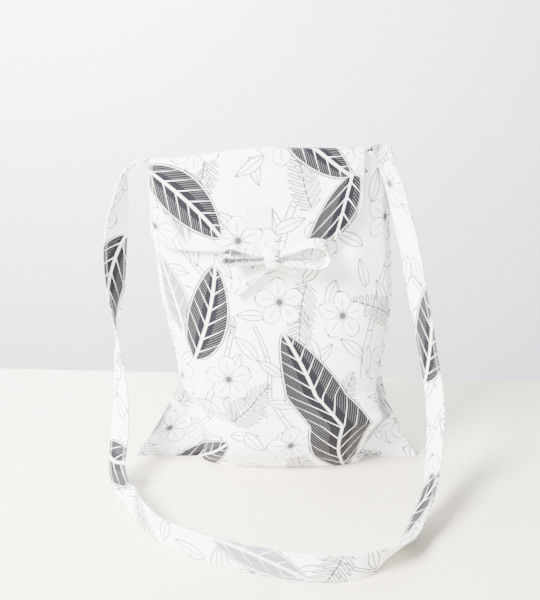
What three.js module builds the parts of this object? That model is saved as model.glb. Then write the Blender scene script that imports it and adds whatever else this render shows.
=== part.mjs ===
// A fabric shoulder bag with a front flap that ties shut with a bow.
// It stands on a table, stuffed and slouching, and faces -Y. Its long flat strap
// leaves both top corners and lies on the table in front of it, standing on its edge.
// Millimetres, Z up, with the origin on the table under the middle of the bag.
import * as THREE from 'three';

// Bag body
const BAG_HEIGHT = 309;
const MOUTH_DIP = 10;          // how much lower the left end of the mouth hangs
const BASE_WIDTH = 292;        // bottom seam, corner to corner
const WAIST_WIDTH = 202;       // where the sides pull in above the corner ears
const MOUTH_WIDTH = 223;
const WAIST_HEIGHT = 94;
const LEAN = 11.5;             // how far the mouth leans to the left of the waist
const BASE_DEPTH = 50;         // flat underside, front to back
const BELLY_DEPTH = 100;
const BELLY_HEIGHT = 60;
const MOUTH_DEPTH = 44;
const LEFT_EAR_WIDTH = 67;     // flat corner ear, measured along the bottom seam
const LEFT_EAR_HEIGHT = 88;
const RIGHT_EAR_WIDTH = 54;
const RIGHT_EAR_HEIGHT = 56;
const SEAM_RIDGE = 3;          // half the thickness of the flat seamed edge
const SEAM_FLANGE = 1.5;       // flat width of the side seam above the ears
const SEAM_SETBACK = 4;        // bottom seam lies this far behind the middle
const BOXINESS = 2.6;          // exponent of the rounded section of the body
const CLOTH = 1.0;
const LINING = 0.7;
const GAP = 0.3;

// Flap
const FLAP_WIDTH = 191;
const FLAP_SHIFT = -19.5;      // middle of the flap, left of the bag's middle
const FLAP_DROP = 86;          // from the mouth down to the lowest edge
const FLAP_BOXINESS = 3.2;
const FLAP_LIFT = 1.4;         // clearance over the front panel
const FLAP_FOLD = 3.4;         // radius where it turns down over the mouth
const FLAP_RIGHT_CORNER = [66, 52];
const FLAP_LEFT_CORNER = [40, 14];
const LABEL_WIDTH = 24;
const LABEL_HEIGHT = 19;
const LABEL_THICKNESS = 0.5;
const LABEL_SHIFT = 2;         // right of the flap's middle
const LABEL_RISE = 30;         // middle of the label above the flap's lowest edge

// Ties and their bow
const TIE_WIDTH = 14;
const TIE_THICKNESS = 1.6;
const KNOT_WIDTH = 14;
const KNOT_HEIGHT = 21;
const KNOT_DEPTH = 13;
const KNOT_SHIFT = 14;         // right of the flap's middle
const KNOT_DROP = 4;           // its middle hangs this far under the flap's edge
const LEFT_LOOP = 36;          // reach of each loop from the knot's side
const LEFT_LOOP_RISE = 1.5;    // how far its upper run bulges up
const LEFT_LOOP_TILT = 0.25;   // how steeply its cloth is turned
const RIGHT_LOOP = 43;
const RIGHT_LOOP_RISE = 9;
const RIGHT_LOOP_TILT = 0.55;
const LEFT_TAIL = 34;
const LEFT_TAIL_SLOPE = 0.75;  // radians below level
const RIGHT_TAIL = 17;
const RIGHT_TAIL_SLOPE = 0.3;
const RIGHT_TAIL_END = 0.7;    // share of its width left at its end
const TAIL_SETBACK = 3;        // the tails lie this far behind the knot's middle
const LEFT_TAIL_DROP = 7;      // and this far below it
const RIGHT_TAIL_DROP = 7.6;
const TIE_ROOT = 12;           // length of the sewn-on end of each tie
const KNOT_GATHER = 0.55;      // share of their width to which the ties are drawn in at the knot

// Strap
const STRAP_WIDTH = 24.5;
const STRAP_THICKNESS = 2.4;
const STRAP_END = 7;           // sewn-in end that stands out of the side seam
const STRAP_REACH = 200;       // how far in front of the bag it lies on the table
const STRAP_ARCH = 3.8;        // the fold at the right-hand end lies this far over the rim
const RIM_OVERLAP = 10;        // how far that end reaches back over the mouth
const FOLD_INSET = 11;         // middle of that fold, inward of the side seam
const FOLD_PLAY = 0.2;         // the strap folds back on a line just over its upper face

// Mesh steps
const BULGE_STEPS = 8;
const HEIGHT_SHARES = [
  0, 0.013, 0.033, 0.065, 0.105, 0.15, 0.195, 0.245, 0.3, 0.37, 0.47, 0.58, 0.7, 0.81, 0.91, 1,
];
const UNDER_STEPS = 2;
const FLAP_COLUMNS = 18;
const FLAP_DROP_ROWS = 8;

const CANVAS = new THREE.MeshStandardMaterial({ color: 0xf2f1f0, roughness: 0.85, metalness: 0 });
const LINING_CLOTH = new THREE.MeshStandardMaterial({ color: 0xece9e2, roughness: 0.9, metalness: 0 });
const LABEL_CLOTH = new THREE.MeshStandardMaterial({ color: 0xfafaf8, roughness: 0.7, metalness: 0 });

const bag = new THREE.Group();
const mix = THREE.MathUtils.lerp;
const ease = THREE.MathUtils.smoothstep;

function addMesh(name, geometry, material) {
  const mesh = new THREE.Mesh(geometry, material.clone());
  mesh.name = name;
  bag.add(mesh);
  return mesh;
}

// A closed slab between two grids of points that face each other: pointAt(i, j, layer)
// gives a point of the outer grid (layer 0) or the inner grid (layer 1).
function slab(columns, rows, pointAt) {
  const positions = [];
  const index = [];
  const id = (i, j, layer) => layer * (columns + 1) * (rows + 1) + j * (columns + 1) + i;
  const quad = (a, b, c, d) => index.push(a, b, c, a, c, d);
  for (const layer of [0, 1]) {
    for (let j = 0; j <= rows; j += 1) {
      for (let i = 0; i <= columns; i += 1) positions.push(...pointAt(i, j, layer).toArray());
    }
  }
  for (let j = 0; j < rows; j += 1) {
    for (let i = 0; i < columns; i += 1) {
      quad(id(i, j, 0), id(i + 1, j, 0), id(i + 1, j + 1, 0), id(i, j + 1, 0));
      quad(id(i, j, 1), id(i, j + 1, 1), id(i + 1, j + 1, 1), id(i + 1, j, 1));
    }
  }
  for (let i = 0; i < columns; i += 1) {
    quad(id(i, 0, 0), id(i, 0, 1), id(i + 1, 0, 1), id(i + 1, 0, 0));
    quad(id(i, rows, 0), id(i + 1, rows, 0), id(i + 1, rows, 1), id(i, rows, 1));
  }
  for (let j = 0; j < rows; j += 1) {
    quad(id(0, j, 0), id(0, j + 1, 0), id(0, j + 1, 1), id(0, j, 1));
    quad(id(columns, j, 0), id(columns, j, 1), id(columns, j + 1, 1), id(columns, j + 1, 0));
  }
  const geometry = new THREE.BufferGeometry();
  geometry.setAttribute('position', new THREE.Float32BufferAttribute(positions, 3));
  geometry.setIndex(index);
  geometry.computeVertexNormals();
  return geometry;
}

// The body's section at a height: where the side seams are, how far the stuffing
// pushes the cloth out, and between which edges it does.
function section(height) {
  const waistHalf = WAIST_WIDTH / 2;
  const earShare = Math.pow(Math.max(0, 1 - height / WAIST_HEIGHT), 1.5);
  const chestShare = ease(height, WAIST_HEIGHT * 0.9, BAG_HEIGHT * 0.6);
  const half = waistHalf + (BASE_WIDTH / 2 - waistHalf) * earShare
    + (MOUTH_WIDTH / 2 - waistHalf) * chestShare;
  const middle = LEAN * (ease(height, 0, WAIST_HEIGHT) / 4 - ease(height, WAIST_HEIGHT, BAG_HEIGHT));
  const lower = 1 - Math.pow(Math.max(0, 1 - height / BELLY_HEIGHT), 2.5);
  const upper = Math.pow(Math.max(0, (height - BELLY_HEIGHT) / (BAG_HEIGHT - BELLY_HEIGHT)), 1.8);
  const depth = mix(mix(BASE_DEPTH, BELLY_DEPTH, lower), MOUTH_DEPTH, upper) / 2;
  const leftEar = LEFT_EAR_WIDTH * Math.max(0, 1 - (height / LEFT_EAR_HEIGHT) ** 1.35);
  const rightEar = RIGHT_EAR_WIDTH * Math.max(0, 1 - (height / RIGHT_EAR_HEIGHT) ** 2);
  return { half, middle, depth, leftEar, rightEar };
}

const mouthDip = (x) => MOUTH_DIP * (1 - ease(x, -MOUTH_WIDTH / 2, 0));
const dipAt = (x, height) => mouthDip(x) * (height / BAG_HEIGHT) ** 2;

// Half thickness of a rounded section, as a share, at a share t of its half width
const roundShare = (t, power) => Math.pow(Math.max(0, 1 - Math.abs(t) ** power), 1 / power);

// Columns run from the left seam to the right one: round edge, flat ear, bulge, ear, edge.
const SIDE_STEPS = 4;
const HALF_COLUMNS = BULGE_STEPS + SIDE_STEPS;
const BODY_COLUMNS = 2 * HALF_COLUMNS;
const BODY_ROWS = UNDER_STEPS + HEIGHT_SHARES.length - 1;

// x and outward distance of a column at a height, at a depth under the outer face
function sectionPoint(column, height, under) {
  const { half, middle, depth, leftEar, rightEar } = section(height);
  const step = column - HALF_COLUMNS;
  const side = Math.sign(step) || 1;
  const ridge = SEAM_RIDGE - under;
  const seam = half - under;
  const flat = Math.hypot(side < 0 ? leftEar : rightEar, SEAM_FLANGE);
  const leftEdge = middle - half + SEAM_RIDGE + Math.hypot(leftEar, SEAM_FLANGE) + under;
  const rightEdge = middle + half - SEAM_RIDGE - Math.hypot(rightEar, SEAM_FLANGE) - under;
  const count = Math.abs(step);
  if (count <= BULGE_STEPS) {
    const angle = (count / BULGE_STEPS) * Math.PI / 2;
    const across = side * Math.pow(Math.sin(angle), 2 / BOXINESS);
    const push = (depth - under) * Math.pow(Math.max(0, Math.cos(angle)), 2 / BOXINESS);
    const x = (leftEdge + rightEdge) / 2 + across * (rightEdge - leftEdge) / 2;
    return { x, out: Math.hypot(count === BULGE_STEPS ? 0 : push, ridge) };
  }
  const turn = [null, null, 0, Math.PI / 4, Math.PI / 2][count - BULGE_STEPS];
  if (turn === null) return { x: middle + side * (seam - ridge - flat / 2), out: ridge };
  const out = Math.max(GAP / 2, ridge * Math.cos(turn));
  return { x: middle + side * (seam - ridge * (1 - Math.sin(turn))), out };
}

function bodyPoint(side, column, row, under) {
  const height = BAG_HEIGHT * HEIGHT_SHARES[Math.max(0, row - UNDER_STEPS)];
  const { x, out } = sectionPoint(column, height, under);
  const z = under + height * (1 - under / BAG_HEIGHT) - dipAt(x, height);
  const across = Math.min(1, Math.abs(column - HALF_COLUMNS) / BULGE_STEPS);
  const seamY = SEAM_SETBACK * (1 - across ** 2) + side * GAP / 2;
  const share = Math.min(1, row / UNDER_STEPS);
  return new THREE.Vector3(x, mix(seamY, side * out, share), z);
}

// side is -1 for the front and 1 for the back
function bodyLayer(side, outerDepth, innerDepth) {
  return slab(BODY_COLUMNS, BODY_ROWS, (i, j, layer) => {
    const column = side < 0 ? i : BODY_COLUMNS - i;
    return bodyPoint(side, column, j, layer === 0 ? outerDepth : innerDepth);
  });
}

addMesh('front_panel', bodyLayer(-1, 0, CLOTH), CANVAS);
addMesh('back_panel', bodyLayer(1, 0, CLOTH), CANVAS);
addMesh('front_lining', bodyLayer(-1, CLOTH + GAP, CLOTH + GAP + LINING), LINING_CLOTH);
addMesh('back_lining', bodyLayer(1, CLOTH + GAP, CLOTH + GAP + LINING), LINING_CLOTH);

// The flap is sewn on the back rim of the mouth, crosses it and hangs down the front.
const flapLeft = FLAP_SHIFT - FLAP_WIDTH / 2;
const flapRight = FLAP_SHIFT + FLAP_WIDTH / 2;
const flapLow = BAG_HEIGHT - FLAP_DROP;

// How far the flap hangs in front of the bag's middle plane
function flapOut(x, height) {
  const { half, middle, depth } = section(height);
  const t = (x - middle) / (half + 2 * SEAM_RIDGE);
  return (depth + FLAP_LIFT) * roundShare(t, FLAP_BOXINESS);
}

// Height of the flap's lower edge, with its two rounded corners
function flapEdge(x) {
  const corner = (reach, [width, rise]) => {
    const q = THREE.MathUtils.clamp(1 - reach / width, 0, 1);
    return rise * (1 - Math.sqrt(1 - q * q));
  };
  return flapLow + corner(flapRight - x, FLAP_RIGHT_CORNER) + corner(x - flapLeft, FLAP_LEFT_CORNER);
}

const rimZ = (x) => BAG_HEIGHT - mouthDip(x);

// A point of the hanging part, at a height and a distance off its inner face
function flapFront(x, z, off) {
  return new THREE.Vector3(x, -flapOut(x, z) - off, z);
}

const TOP_ROWS = 2;
const FOLD_ROWS = 3;
const FLAP_ROWS = TOP_ROWS + FOLD_ROWS + FLAP_DROP_ROWS;

function flapPoint(column, row, off) {
  const x = FLAP_SHIFT + (FLAP_WIDTH / 2) * Math.sin((column / FLAP_COLUMNS - 0.5) * Math.PI);
  const top = rimZ(x) + FLAP_LIFT;
  const front = flapOut(x, top);
  if (row < TOP_ROWS) {
    const share = row / TOP_ROWS;
    const y = mix(front - FLAP_LIFT, FLAP_FOLD - front, share);
    return new THREE.Vector3(x, y, mix(rimZ(x) + GAP, top, share) + off);
  }
  if (row <= TOP_ROWS + FOLD_ROWS) {
    const turn = ((row - TOP_ROWS) / FOLD_ROWS) * Math.PI / 2;
    const reach = FLAP_FOLD + off;
    const y = FLAP_FOLD - front - reach * Math.sin(turn);
    return new THREE.Vector3(x, y, top - FLAP_FOLD + reach * Math.cos(turn));
  }
  const share = (row - TOP_ROWS - FOLD_ROWS) / FLAP_DROP_ROWS;
  return flapFront(x, mix(top - FLAP_FOLD, flapEdge(x), share), off);
}

function flapLayer(innerOff, outerOff) {
  return slab(FLAP_COLUMNS, FLAP_ROWS, (i, j, layer) => {
    return flapPoint(FLAP_COLUMNS - i, j, layer === 0 ? outerOff : innerOff);
  });
}

const flapFace = LINING + GAP + CLOTH;
addMesh('flap_lining', flapLayer(0, LINING), LINING_CLOTH);
addMesh('flap_outer', flapLayer(LINING + GAP, flapFace), CANVAS);

// A small blank label sewn on the flap
const labelMiddle = FLAP_SHIFT + LABEL_SHIFT;
const labelZ = flapLow + LABEL_RISE;
const LABEL_STEPS = [4, 3];
addMesh('label', slab(...LABEL_STEPS, (i, j, layer) => {
  const x = labelMiddle + (i / LABEL_STEPS[0] - 0.5) * LABEL_WIDTH;
  const z = labelZ + (j / LABEL_STEPS[1] - 0.5) * LABEL_HEIGHT;
  return flapFront(x, z, flapFace + GAP + (layer === 0 ? LABEL_THICKNESS : 0));
}), LABEL_CLOTH);

// A flat band swept along points, each with the direction of its width. Bands that
// lie on the table are lifted so that their lower edge just rests on it.
function bandFrames(rows, steps) {
  const route = new THREE.CatmullRomCurve3(rows.map((r) => r.at), false, 'centripetal');
  const lean = new THREE.CatmullRomCurve3(rows.map((r) => r.width), false, 'centripetal');
  const frames = [];
  for (let k = 0; k <= steps; k += 1) {
    const at = route.getPoint(k / steps);
    const along = route.getTangent(k / steps);
    const width = lean.getPoint(k / steps);
    width.addScaledVector(along, -width.dot(along)).normalize();
    frames.push({ at, along, width, normal: along.clone().cross(width) });
  }
  return frames;
}

// gather gives the share of the full width at a share of the length.
function band(frames, fullWidth, thickness, gather = () => 1) {
  const corners = [[-1, -1], [1, -1], [1, 1], [-1, 1]];
  const positions = [];
  const index = [];
  frames.forEach(({ at, width: w, normal: n }, k) => {
    const width = fullWidth * gather(k / (frames.length - 1));
    const low = Math.abs(w.z) * width / 2 + Math.abs(n.z) * thickness / 2;
    const lift = Math.max(0, low - at.z);
    for (const [a, b] of corners) {
      const p = at.clone().addScaledVector(w, a * width / 2).addScaledVector(n, b * thickness / 2);
      positions.push(p.x, p.y, p.z + lift);
    }
  });
  const last = (frames.length - 1) * 4;
  for (let k = 0; k < frames.length - 1; k += 1) {
    for (let c = 0; c < 4; c += 1) {
      const a = 4 * k + c;
      const b = 4 * k + ((c + 1) % 4);
      index.push(a, b, b + 4, a, b + 4, a + 4);
    }
  }
  index.push(0, 2, 1, 0, 3, 2, last, last + 1, last + 2, last, last + 2, last + 3);
  const geometry = new THREE.BufferGeometry();
  geometry.setAttribute('position', new THREE.Float32BufferAttribute(positions, 3));
  geometry.setIndex(index);
  geometry.computeVertexNormals();
  return geometry;
}

const bandRow = (x, y, z, wx, wy, wz) => ({
  at: new THREE.Vector3(x, y, z),
  width: new THREE.Vector3(wx, wy, wz),
});

// The bow hangs in front of the flap's lower edge: a knot, two loops and two tails
const knotX = FLAP_SHIFT + KNOT_SHIFT;
const knotZ = flapLow - KNOT_DROP;
const rootFace = flapOut(knotX, flapLow) + flapFace + GAP + TIE_THICKNESS;
const knotY = -rootFace - GAP - KNOT_DEPTH / 2;
const knot = new THREE.SphereGeometry(0.5, 12, 8);
knot.scale(KNOT_WIDTH, KNOT_DEPTH, KNOT_HEIGHT);
knot.translate(knotX, knotY, knotZ);
addMesh('bow_knot', knot, CANVAS);

// side is -1 for the left loop and 1 for the right one; rise lifts its upper run
function bowLoop(side, reach, rise, tilt) {
  const half = TIE_WIDTH * KNOT_GATHER * tilt / 2 / Math.hypot(1, tilt) + TIE_THICKNESS;
  const gather = (share) => mix(KNOT_GATHER, 1, Math.sin(Math.PI * share) ** 0.7);
  const knotHalf = KNOT_WIDTH / 2 * Math.sqrt(1 - (2 * half / KNOT_HEIGHT) ** 2);
  const start = knotX + side * (knotHalf + GAP);
  const at = (share, z, y = 0) => bandRow(start + side * share * reach, knotY + y, knotZ + z, 0, 1, tilt);
  return band(bandFrames([
    at(0, half),
    at(0.3, half * 1.2 + rise * 0.45, -0.5),
    at(0.7, half * 1.4 + rise, -1.5),
    at(0.92, half * 1.4 + rise * 0.75, -2),
    at(1, rise * 0.25, -2),
    at(0.9, -half * 1.2, -2),
    at(0.6, -half * 1.4, -1),
    at(0.3, -half * 1.2, -0.5),
    at(0, -half),
  ], 22), TIE_WIDTH, TIE_THICKNESS, gather);
}

addMesh('bow_loop_left', bowLoop(-1, LEFT_LOOP, LEFT_LOOP_RISE, LEFT_LOOP_TILT), CANVAS);
addMesh('bow_loop_right', bowLoop(1, RIGHT_LOOP, RIGHT_LOOP_RISE, RIGHT_LOOP_TILT), CANVAS);

// Tails hang from under the knot, close in front of the bag
function bowTail(side, length, slope, drop, endShare) {
  const direction = new THREE.Vector3(side * Math.cos(slope), 0, -Math.sin(slope));
  const start = new THREE.Vector3(knotX + side * KNOT_WIDTH * 0.35, knotY + TAIL_SETBACK, knotZ - drop)
    .addScaledVector(direction, GAP);
  const at = (share, forward) => {
    const p = start.clone().addScaledVector(direction, share * length);
    return bandRow(p.x, p.y + forward, p.z, direction.z, 0.35, -direction.x);
  };
  const gather = (share) => mix(KNOT_GATHER, endShare, Math.min(1, share * 1.5));
  const frames = bandFrames([at(0, 0), at(0.35, 0.8), at(0.7, 1), at(1, 0.6)], 6);
  return band(frames, TIE_WIDTH, TIE_THICKNESS, gather);
}

const leftTail = bowTail(-1, LEFT_TAIL, LEFT_TAIL_SLOPE, LEFT_TAIL_DROP, 1);
addMesh('bow_tail_left', leftTail, CANVAS);
const rightTail = bowTail(1, RIGHT_TAIL, RIGHT_TAIL_SLOPE, RIGHT_TAIL_DROP, RIGHT_TAIL_END);
addMesh('bow_tail_right', rightTail, CANVAS);

// Each tie's sewn end: one on the flap above its edge, one on the front panel below it
const rootY = (z) => -flapOut(knotX, z) - flapFace - GAP - TIE_THICKNESS / 2;
addMesh('flap_tie_root', band(bandFrames([
  bandRow(knotX, rootY(flapLow + TIE_ROOT), flapLow + TIE_ROOT, 1, 0, 0),
  bandRow(knotX, rootY(flapLow), flapLow, 1, 0, 0),
], 2), TIE_WIDTH, TIE_THICKNESS), CANVAS);
const panelTieY = (z) => -Math.hypot(section(z).depth, SEAM_RIDGE) - GAP - TIE_THICKNESS / 2;
const panelTieTop = flapLow - 3 * GAP;
addMesh('panel_tie_root', band(bandFrames([
  bandRow(knotX, panelTieY(panelTieTop), panelTieTop, 1, 0, 0),
  bandRow(knotX, panelTieY(panelTieTop - TIE_ROOT), panelTieTop - TIE_ROOT, 1, 0, 0),
], 2), TIE_WIDTH, TIE_THICKNESS), CANVAS);

// The strap. Its sewn ends stand out of the top corners, and the strap swings on the
// line through the two points where it leaves them.
const seamLeft = section(BAG_HEIGHT).middle - MOUTH_WIDTH / 2;
const seamRight = section(BAG_HEIGHT).middle + MOUTH_WIDTH / 2;
const leftHinge = new THREE.Vector3(seamLeft - STRAP_END, 0, BAG_HEIGHT - MOUTH_DIP);
const rightHinge = new THREE.Vector3(seamRight - FOLD_INSET, 0, BAG_HEIGHT + STRAP_ARCH);
const swing = rightHinge.clone().sub(leftHinge).normalize();

const leftStart = leftHinge.clone().addScaledVector(swing, STRAP_END - GAP);
addMesh('strap_end_left', band(bandFrames([
  { at: leftStart, width: new THREE.Vector3(0, -1, 0) },
  { at: leftHinge.clone().addScaledVector(swing, GAP), width: new THREE.Vector3(0, -1, 0) },
], 2), STRAP_WIDTH, STRAP_THICKNESS), CANVAS);

// The right-hand end lies across the corner of the mouth with its width along the swing
// line, so the strap folds back over it there.
const foldBelow = new THREE.Vector3(0, 1, 0).cross(swing).setLength(FOLD_PLAY + STRAP_THICKNESS / 2);
const foldRow = (back) => ({
  at: rightHinge.clone().add(foldBelow).add(new THREE.Vector3(0, back, 0)),
  width: swing.clone(),
});
addMesh('strap_end_right', band(bandFrames([
  foldRow(RIM_OVERLAP),
  foldRow(GAP / 2),
], 2), STRAP_WIDTH, STRAP_THICKNESS), CANVAS);

// Legs: out from the hinge point, forward of it, and height as a share of the hinge's,
// with the direction of the strap's width. The run lies on the table: x, then its
// distance in front as a share of the strap's reach.
const LEFT_LEG = [
  [7, 0, 0.988, 0, -1, 0],
  [12.5, 0.3, 0.968, 0, -1, 0],
  [16, 1.8, 0.935, -0.15, -1, 0],
  [18, 4.5, 0.885, -0.4, -0.9, 0],
  [22, 8, 0.81, -0.7, -0.7, 0],
  [25, 10, 0.73, -0.8, -0.65, 0],
  [26, 12, 0.63, -0.6, -0.8, 0],
  [26, 16, 0.5, 0, -1, 0],
  [25, 22, 0.37, 0.5, -0.85, 0],
  [24, 28, 0.27, 0.7, -0.7, 0],
  [25, 37, 0.155, 0.8, -0.6, 0.1],
  [25.5, 50, 0.085, 0.75, -0.45, 0.45],
  [21, 70, 0.055, 0.6, -0.2, 0.8],
];
const RUN = [
  [-134, 0.48, 0.35, 0, 1],
  [-118, 0.62, 0.1, 0, 1],
  [-98, 0.745, 0, 0, 1],
  [-70, 0.84, 0, 0, 1],
  [-38, 0.91, 0, 0, 1],
  [-7, 0.96, 0, 0, 1],
  [28, 0.995, 0, -0.05, 1],
  [55, 0.99, 0, -0.1, 1],
  [74, 0.95, 0.12, -0.17, 0.97],
  [88, 0.89, 0.42, -0.4, 0.8],
  [100, 0.815, 0.56, -0.42, 0.7],
];
const RIGHT_LEG = [
  [28, 133, 0.052, 0.48, -0.52, 0.7],
  [41, 108, 0.095, 0.34, -0.72, 0.6],
  [50, 80, 0.16, 0.38, -0.78, 0.45],
  [52, 62, 0.28, 0.48, -0.85, 0.15],
  [44, 46, 0.45, 0.52, -0.8, 0.1],
  [36, 36, 0.58, 0.55, -0.78, 0.1],
  [26, 29, 0.735, 0.6, -0.74, 0.1],
  [19.5, 26.5, 0.81, 0.63, -0.72, 0.15],
  [11, 26, 0.9, 0.65, -0.69, 0.22],
  [5.7, 26, 0.942, 0.67, -0.67, 0.26],
  [2.5, 25.6, 0.97, 0.72, -0.6, 0.26],
  [0.7, 22.6, 0.9925, 0.8, -0.45, 0.22],
  [0, 15, 1.0035, 0.9, -0.25, 0.14],
  [0, 7, 1.0, 0.97, -0.05, 0.08],
];
const legRows = (hinge, side, rows) => rows.map(([out, forward, share, ...w]) => {
  return bandRow(hinge.x + side * out, hinge.y - forward, hinge.z * share, ...w);
});
const runRows = RUN.map(([x, share, ...w]) => bandRow(x, -share * STRAP_REACH, 0, ...w));
const strapRows = [
  { at: leftHinge.clone(), width: new THREE.Vector3(0, -1, 0) },
  { at: leftHinge.clone().addScaledVector(swing, -3), width: new THREE.Vector3(0, -1, 0) },
  ...legRows(leftHinge, -1, LEFT_LEG),
  ...runRows,
  ...legRows(rightHinge, 1, RIGHT_LEG),
  foldRow(-2),
  foldRow(-GAP / 2),
];
addMesh('shoulder_strap', band(bandFrames(strapRows, 150), STRAP_WIDTH, STRAP_THICKNESS), CANVAS);

export default bag;
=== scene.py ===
# %% [markdown]
# # A slouchy fabric shoulder bag
# The bag is cotton canvas, lined, and closed by a flap whose ties are knotted in a bow.
# It stands stuffed on a table, and its long flat strap lies on its edge in front of it.
# Cloth has no shape of its own, so each piece starts as a flat grid, like cloth on a
# table, and its points are then moved to where the stuffing and the seams hold them.
# The grid also measures itself as it goes, which lays the print on without stretching it.
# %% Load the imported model
import math

import bmesh
import bpy
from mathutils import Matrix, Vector, kdtree, noise
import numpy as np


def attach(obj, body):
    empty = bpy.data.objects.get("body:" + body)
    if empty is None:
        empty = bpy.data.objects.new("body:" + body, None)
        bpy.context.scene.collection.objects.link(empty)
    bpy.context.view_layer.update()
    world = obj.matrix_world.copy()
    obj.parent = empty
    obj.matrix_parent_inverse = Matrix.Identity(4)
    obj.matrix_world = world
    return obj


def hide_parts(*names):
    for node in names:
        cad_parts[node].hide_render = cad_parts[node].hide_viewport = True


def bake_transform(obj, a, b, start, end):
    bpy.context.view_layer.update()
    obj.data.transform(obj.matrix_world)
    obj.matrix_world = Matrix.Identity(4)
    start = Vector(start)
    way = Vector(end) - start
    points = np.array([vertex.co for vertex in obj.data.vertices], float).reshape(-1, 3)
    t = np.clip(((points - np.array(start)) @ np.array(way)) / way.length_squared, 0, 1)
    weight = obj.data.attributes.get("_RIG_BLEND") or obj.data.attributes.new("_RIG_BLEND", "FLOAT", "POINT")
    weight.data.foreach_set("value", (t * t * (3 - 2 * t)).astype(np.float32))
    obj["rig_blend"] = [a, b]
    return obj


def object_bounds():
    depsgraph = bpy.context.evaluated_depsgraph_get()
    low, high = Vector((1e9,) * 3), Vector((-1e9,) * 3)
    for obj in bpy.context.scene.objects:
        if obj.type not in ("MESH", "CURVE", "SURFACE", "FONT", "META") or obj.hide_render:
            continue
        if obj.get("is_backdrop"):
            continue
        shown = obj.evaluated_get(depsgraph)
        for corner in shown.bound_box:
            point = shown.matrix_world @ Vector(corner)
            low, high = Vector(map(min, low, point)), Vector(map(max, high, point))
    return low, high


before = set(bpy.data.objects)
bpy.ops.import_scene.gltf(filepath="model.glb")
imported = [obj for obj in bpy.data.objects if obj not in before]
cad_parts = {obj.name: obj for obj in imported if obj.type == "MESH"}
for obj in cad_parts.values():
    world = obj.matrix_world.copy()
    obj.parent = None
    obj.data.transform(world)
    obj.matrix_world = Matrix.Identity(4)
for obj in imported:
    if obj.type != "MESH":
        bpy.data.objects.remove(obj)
cad_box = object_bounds()
MM = 0.001
print("the packed model is", [round(side / MM) for side in cad_box[1] - cad_box[0]], "mm")

# %% [markdown]
# ## The camera
# The photo is taken from a little above the bag, close enough for the strap in front to
# look wide. The tilt comes from the rim and the table, and the distance from the strap.
# %% Camera
CAMERA_PLACE = (-7.2 * MM, -651.8 * MM, 353.6 * MM)
CAMERA_TILT = 16
CAMERA_LENS = 42

camera = bpy.data.objects.new("camera", bpy.data.cameras.new("camera"))
camera.location = CAMERA_PLACE
camera.rotation_euler = (math.radians(90 - CAMERA_TILT), 0, 0)
camera.data.lens = CAMERA_LENS
bpy.context.collection.objects.link(camera)
bpy.context.scene.camera = camera
print("the camera looks down", CAMERA_TILT, "degrees")

# %% [markdown]
# ## The room
# A cream table top ends a little behind the bag, with a pale cool wall beyond it. A large
# soft window stands at the front left, so the shade falls to the right and behind.
# %% Table and wall, in metres
TABLE_BACK = 0.219
TABLE_TURN = 0.06
TABLE_WIDTH = 6.0
TABLE_DEPTH = 4.0
WALL_BACK = 1.3
WALL_MIDDLE = 1.0
WALL_WIDTH = 12.0
WALL_HEIGHT = 5.0
PATCHES = 3
PATCH_SHADE = 0.985


def plain_material(name, colour, roughness):
    """A matt material of one colour, with faintly darker patches, for the room."""
    made = bpy.data.materials.new(name)
    made.use_nodes = True
    nodes = made.node_tree.nodes
    links = made.node_tree.links
    shader = nodes["Principled BSDF"]
    shader.inputs["Roughness"].default_value = roughness
    patches = nodes.new("ShaderNodeTexNoise")
    patches.inputs["Scale"].default_value = PATCHES
    ramp = nodes.new("ShaderNodeValToRGB")
    ramp.color_ramp.elements[0].color = [part * PATCH_SHADE for part in colour] + [1]
    ramp.color_ramp.elements[1].color = list(colour) + [1]
    where = nodes.new("ShaderNodeTexCoord")
    links.new(where.outputs["Object"], patches.inputs["Vector"])
    links.new(patches.outputs["Fac"], ramp.inputs["Fac"])
    links.new(ramp.outputs["Color"], shader.inputs["Base Color"])
    return made


def room_sheet(name, place, material):
    """A flat sheet of the room. place takes each corner of a square, from -1 to 1, to its own."""
    mesh = bmesh.new()
    bmesh.ops.create_grid(mesh, x_segments=1, y_segments=1, size=1)
    for corner in mesh.verts:
        corner.co = place(corner.co.x, corner.co.y)
    sheet = bpy.data.objects.new(name, bpy.data.meshes.new(name))
    mesh.to_mesh(sheet.data)
    mesh.free()
    sheet.data.materials.append(material)
    bpy.context.collection.objects.link(sheet)
    sheet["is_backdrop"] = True


def table_corner(x, y):
    """The table's back edge is a little nearer on the right, so it slopes in the photo."""
    across = x * TABLE_WIDTH / 2
    return Vector((across, TABLE_BACK - TABLE_TURN * across - (1 - y) * TABLE_DEPTH / 2, 0))


def wall_corner(x, y):
    """The wall stands straight up, well behind the table."""
    return Vector((x * WALL_WIDTH / 2, WALL_BACK, WALL_MIDDLE - y * WALL_HEIGHT / 2))


room_sheet("table", table_corner, plain_material("table", (0.77, 0.70, 0.565), 0.6))
room_sheet("wall", wall_corner, plain_material("wall", (0.80, 0.84, 0.92), 0.9))
print("the table ends", round(TABLE_BACK / MM), "mm behind the middle of the bag")

# %% Lights: place, aim, width in metres, watts and colour
BAG_MIDDLE = (0, 0, 0.15)
WALL_SPOT = (-0.5, WALL_BACK, 0.6)
SKY_COLOUR = (0.93, 0.95, 1.0, 1)
SKY_STRENGTH = 0.5


def soft_light(name, place, aim, width, power, colour):
    """A square soft light at a place, turned to its aim."""
    lamp = bpy.data.lights.new(name, "AREA")
    lamp.size = width
    lamp.energy = power
    lamp.color = colour
    holder = bpy.data.objects.new(name, lamp)
    holder.location = place
    holder.rotation_euler = (Vector(aim) - Vector(place)).to_track_quat("-Z", "Y").to_euler()
    bpy.context.collection.objects.link(holder)


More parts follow.
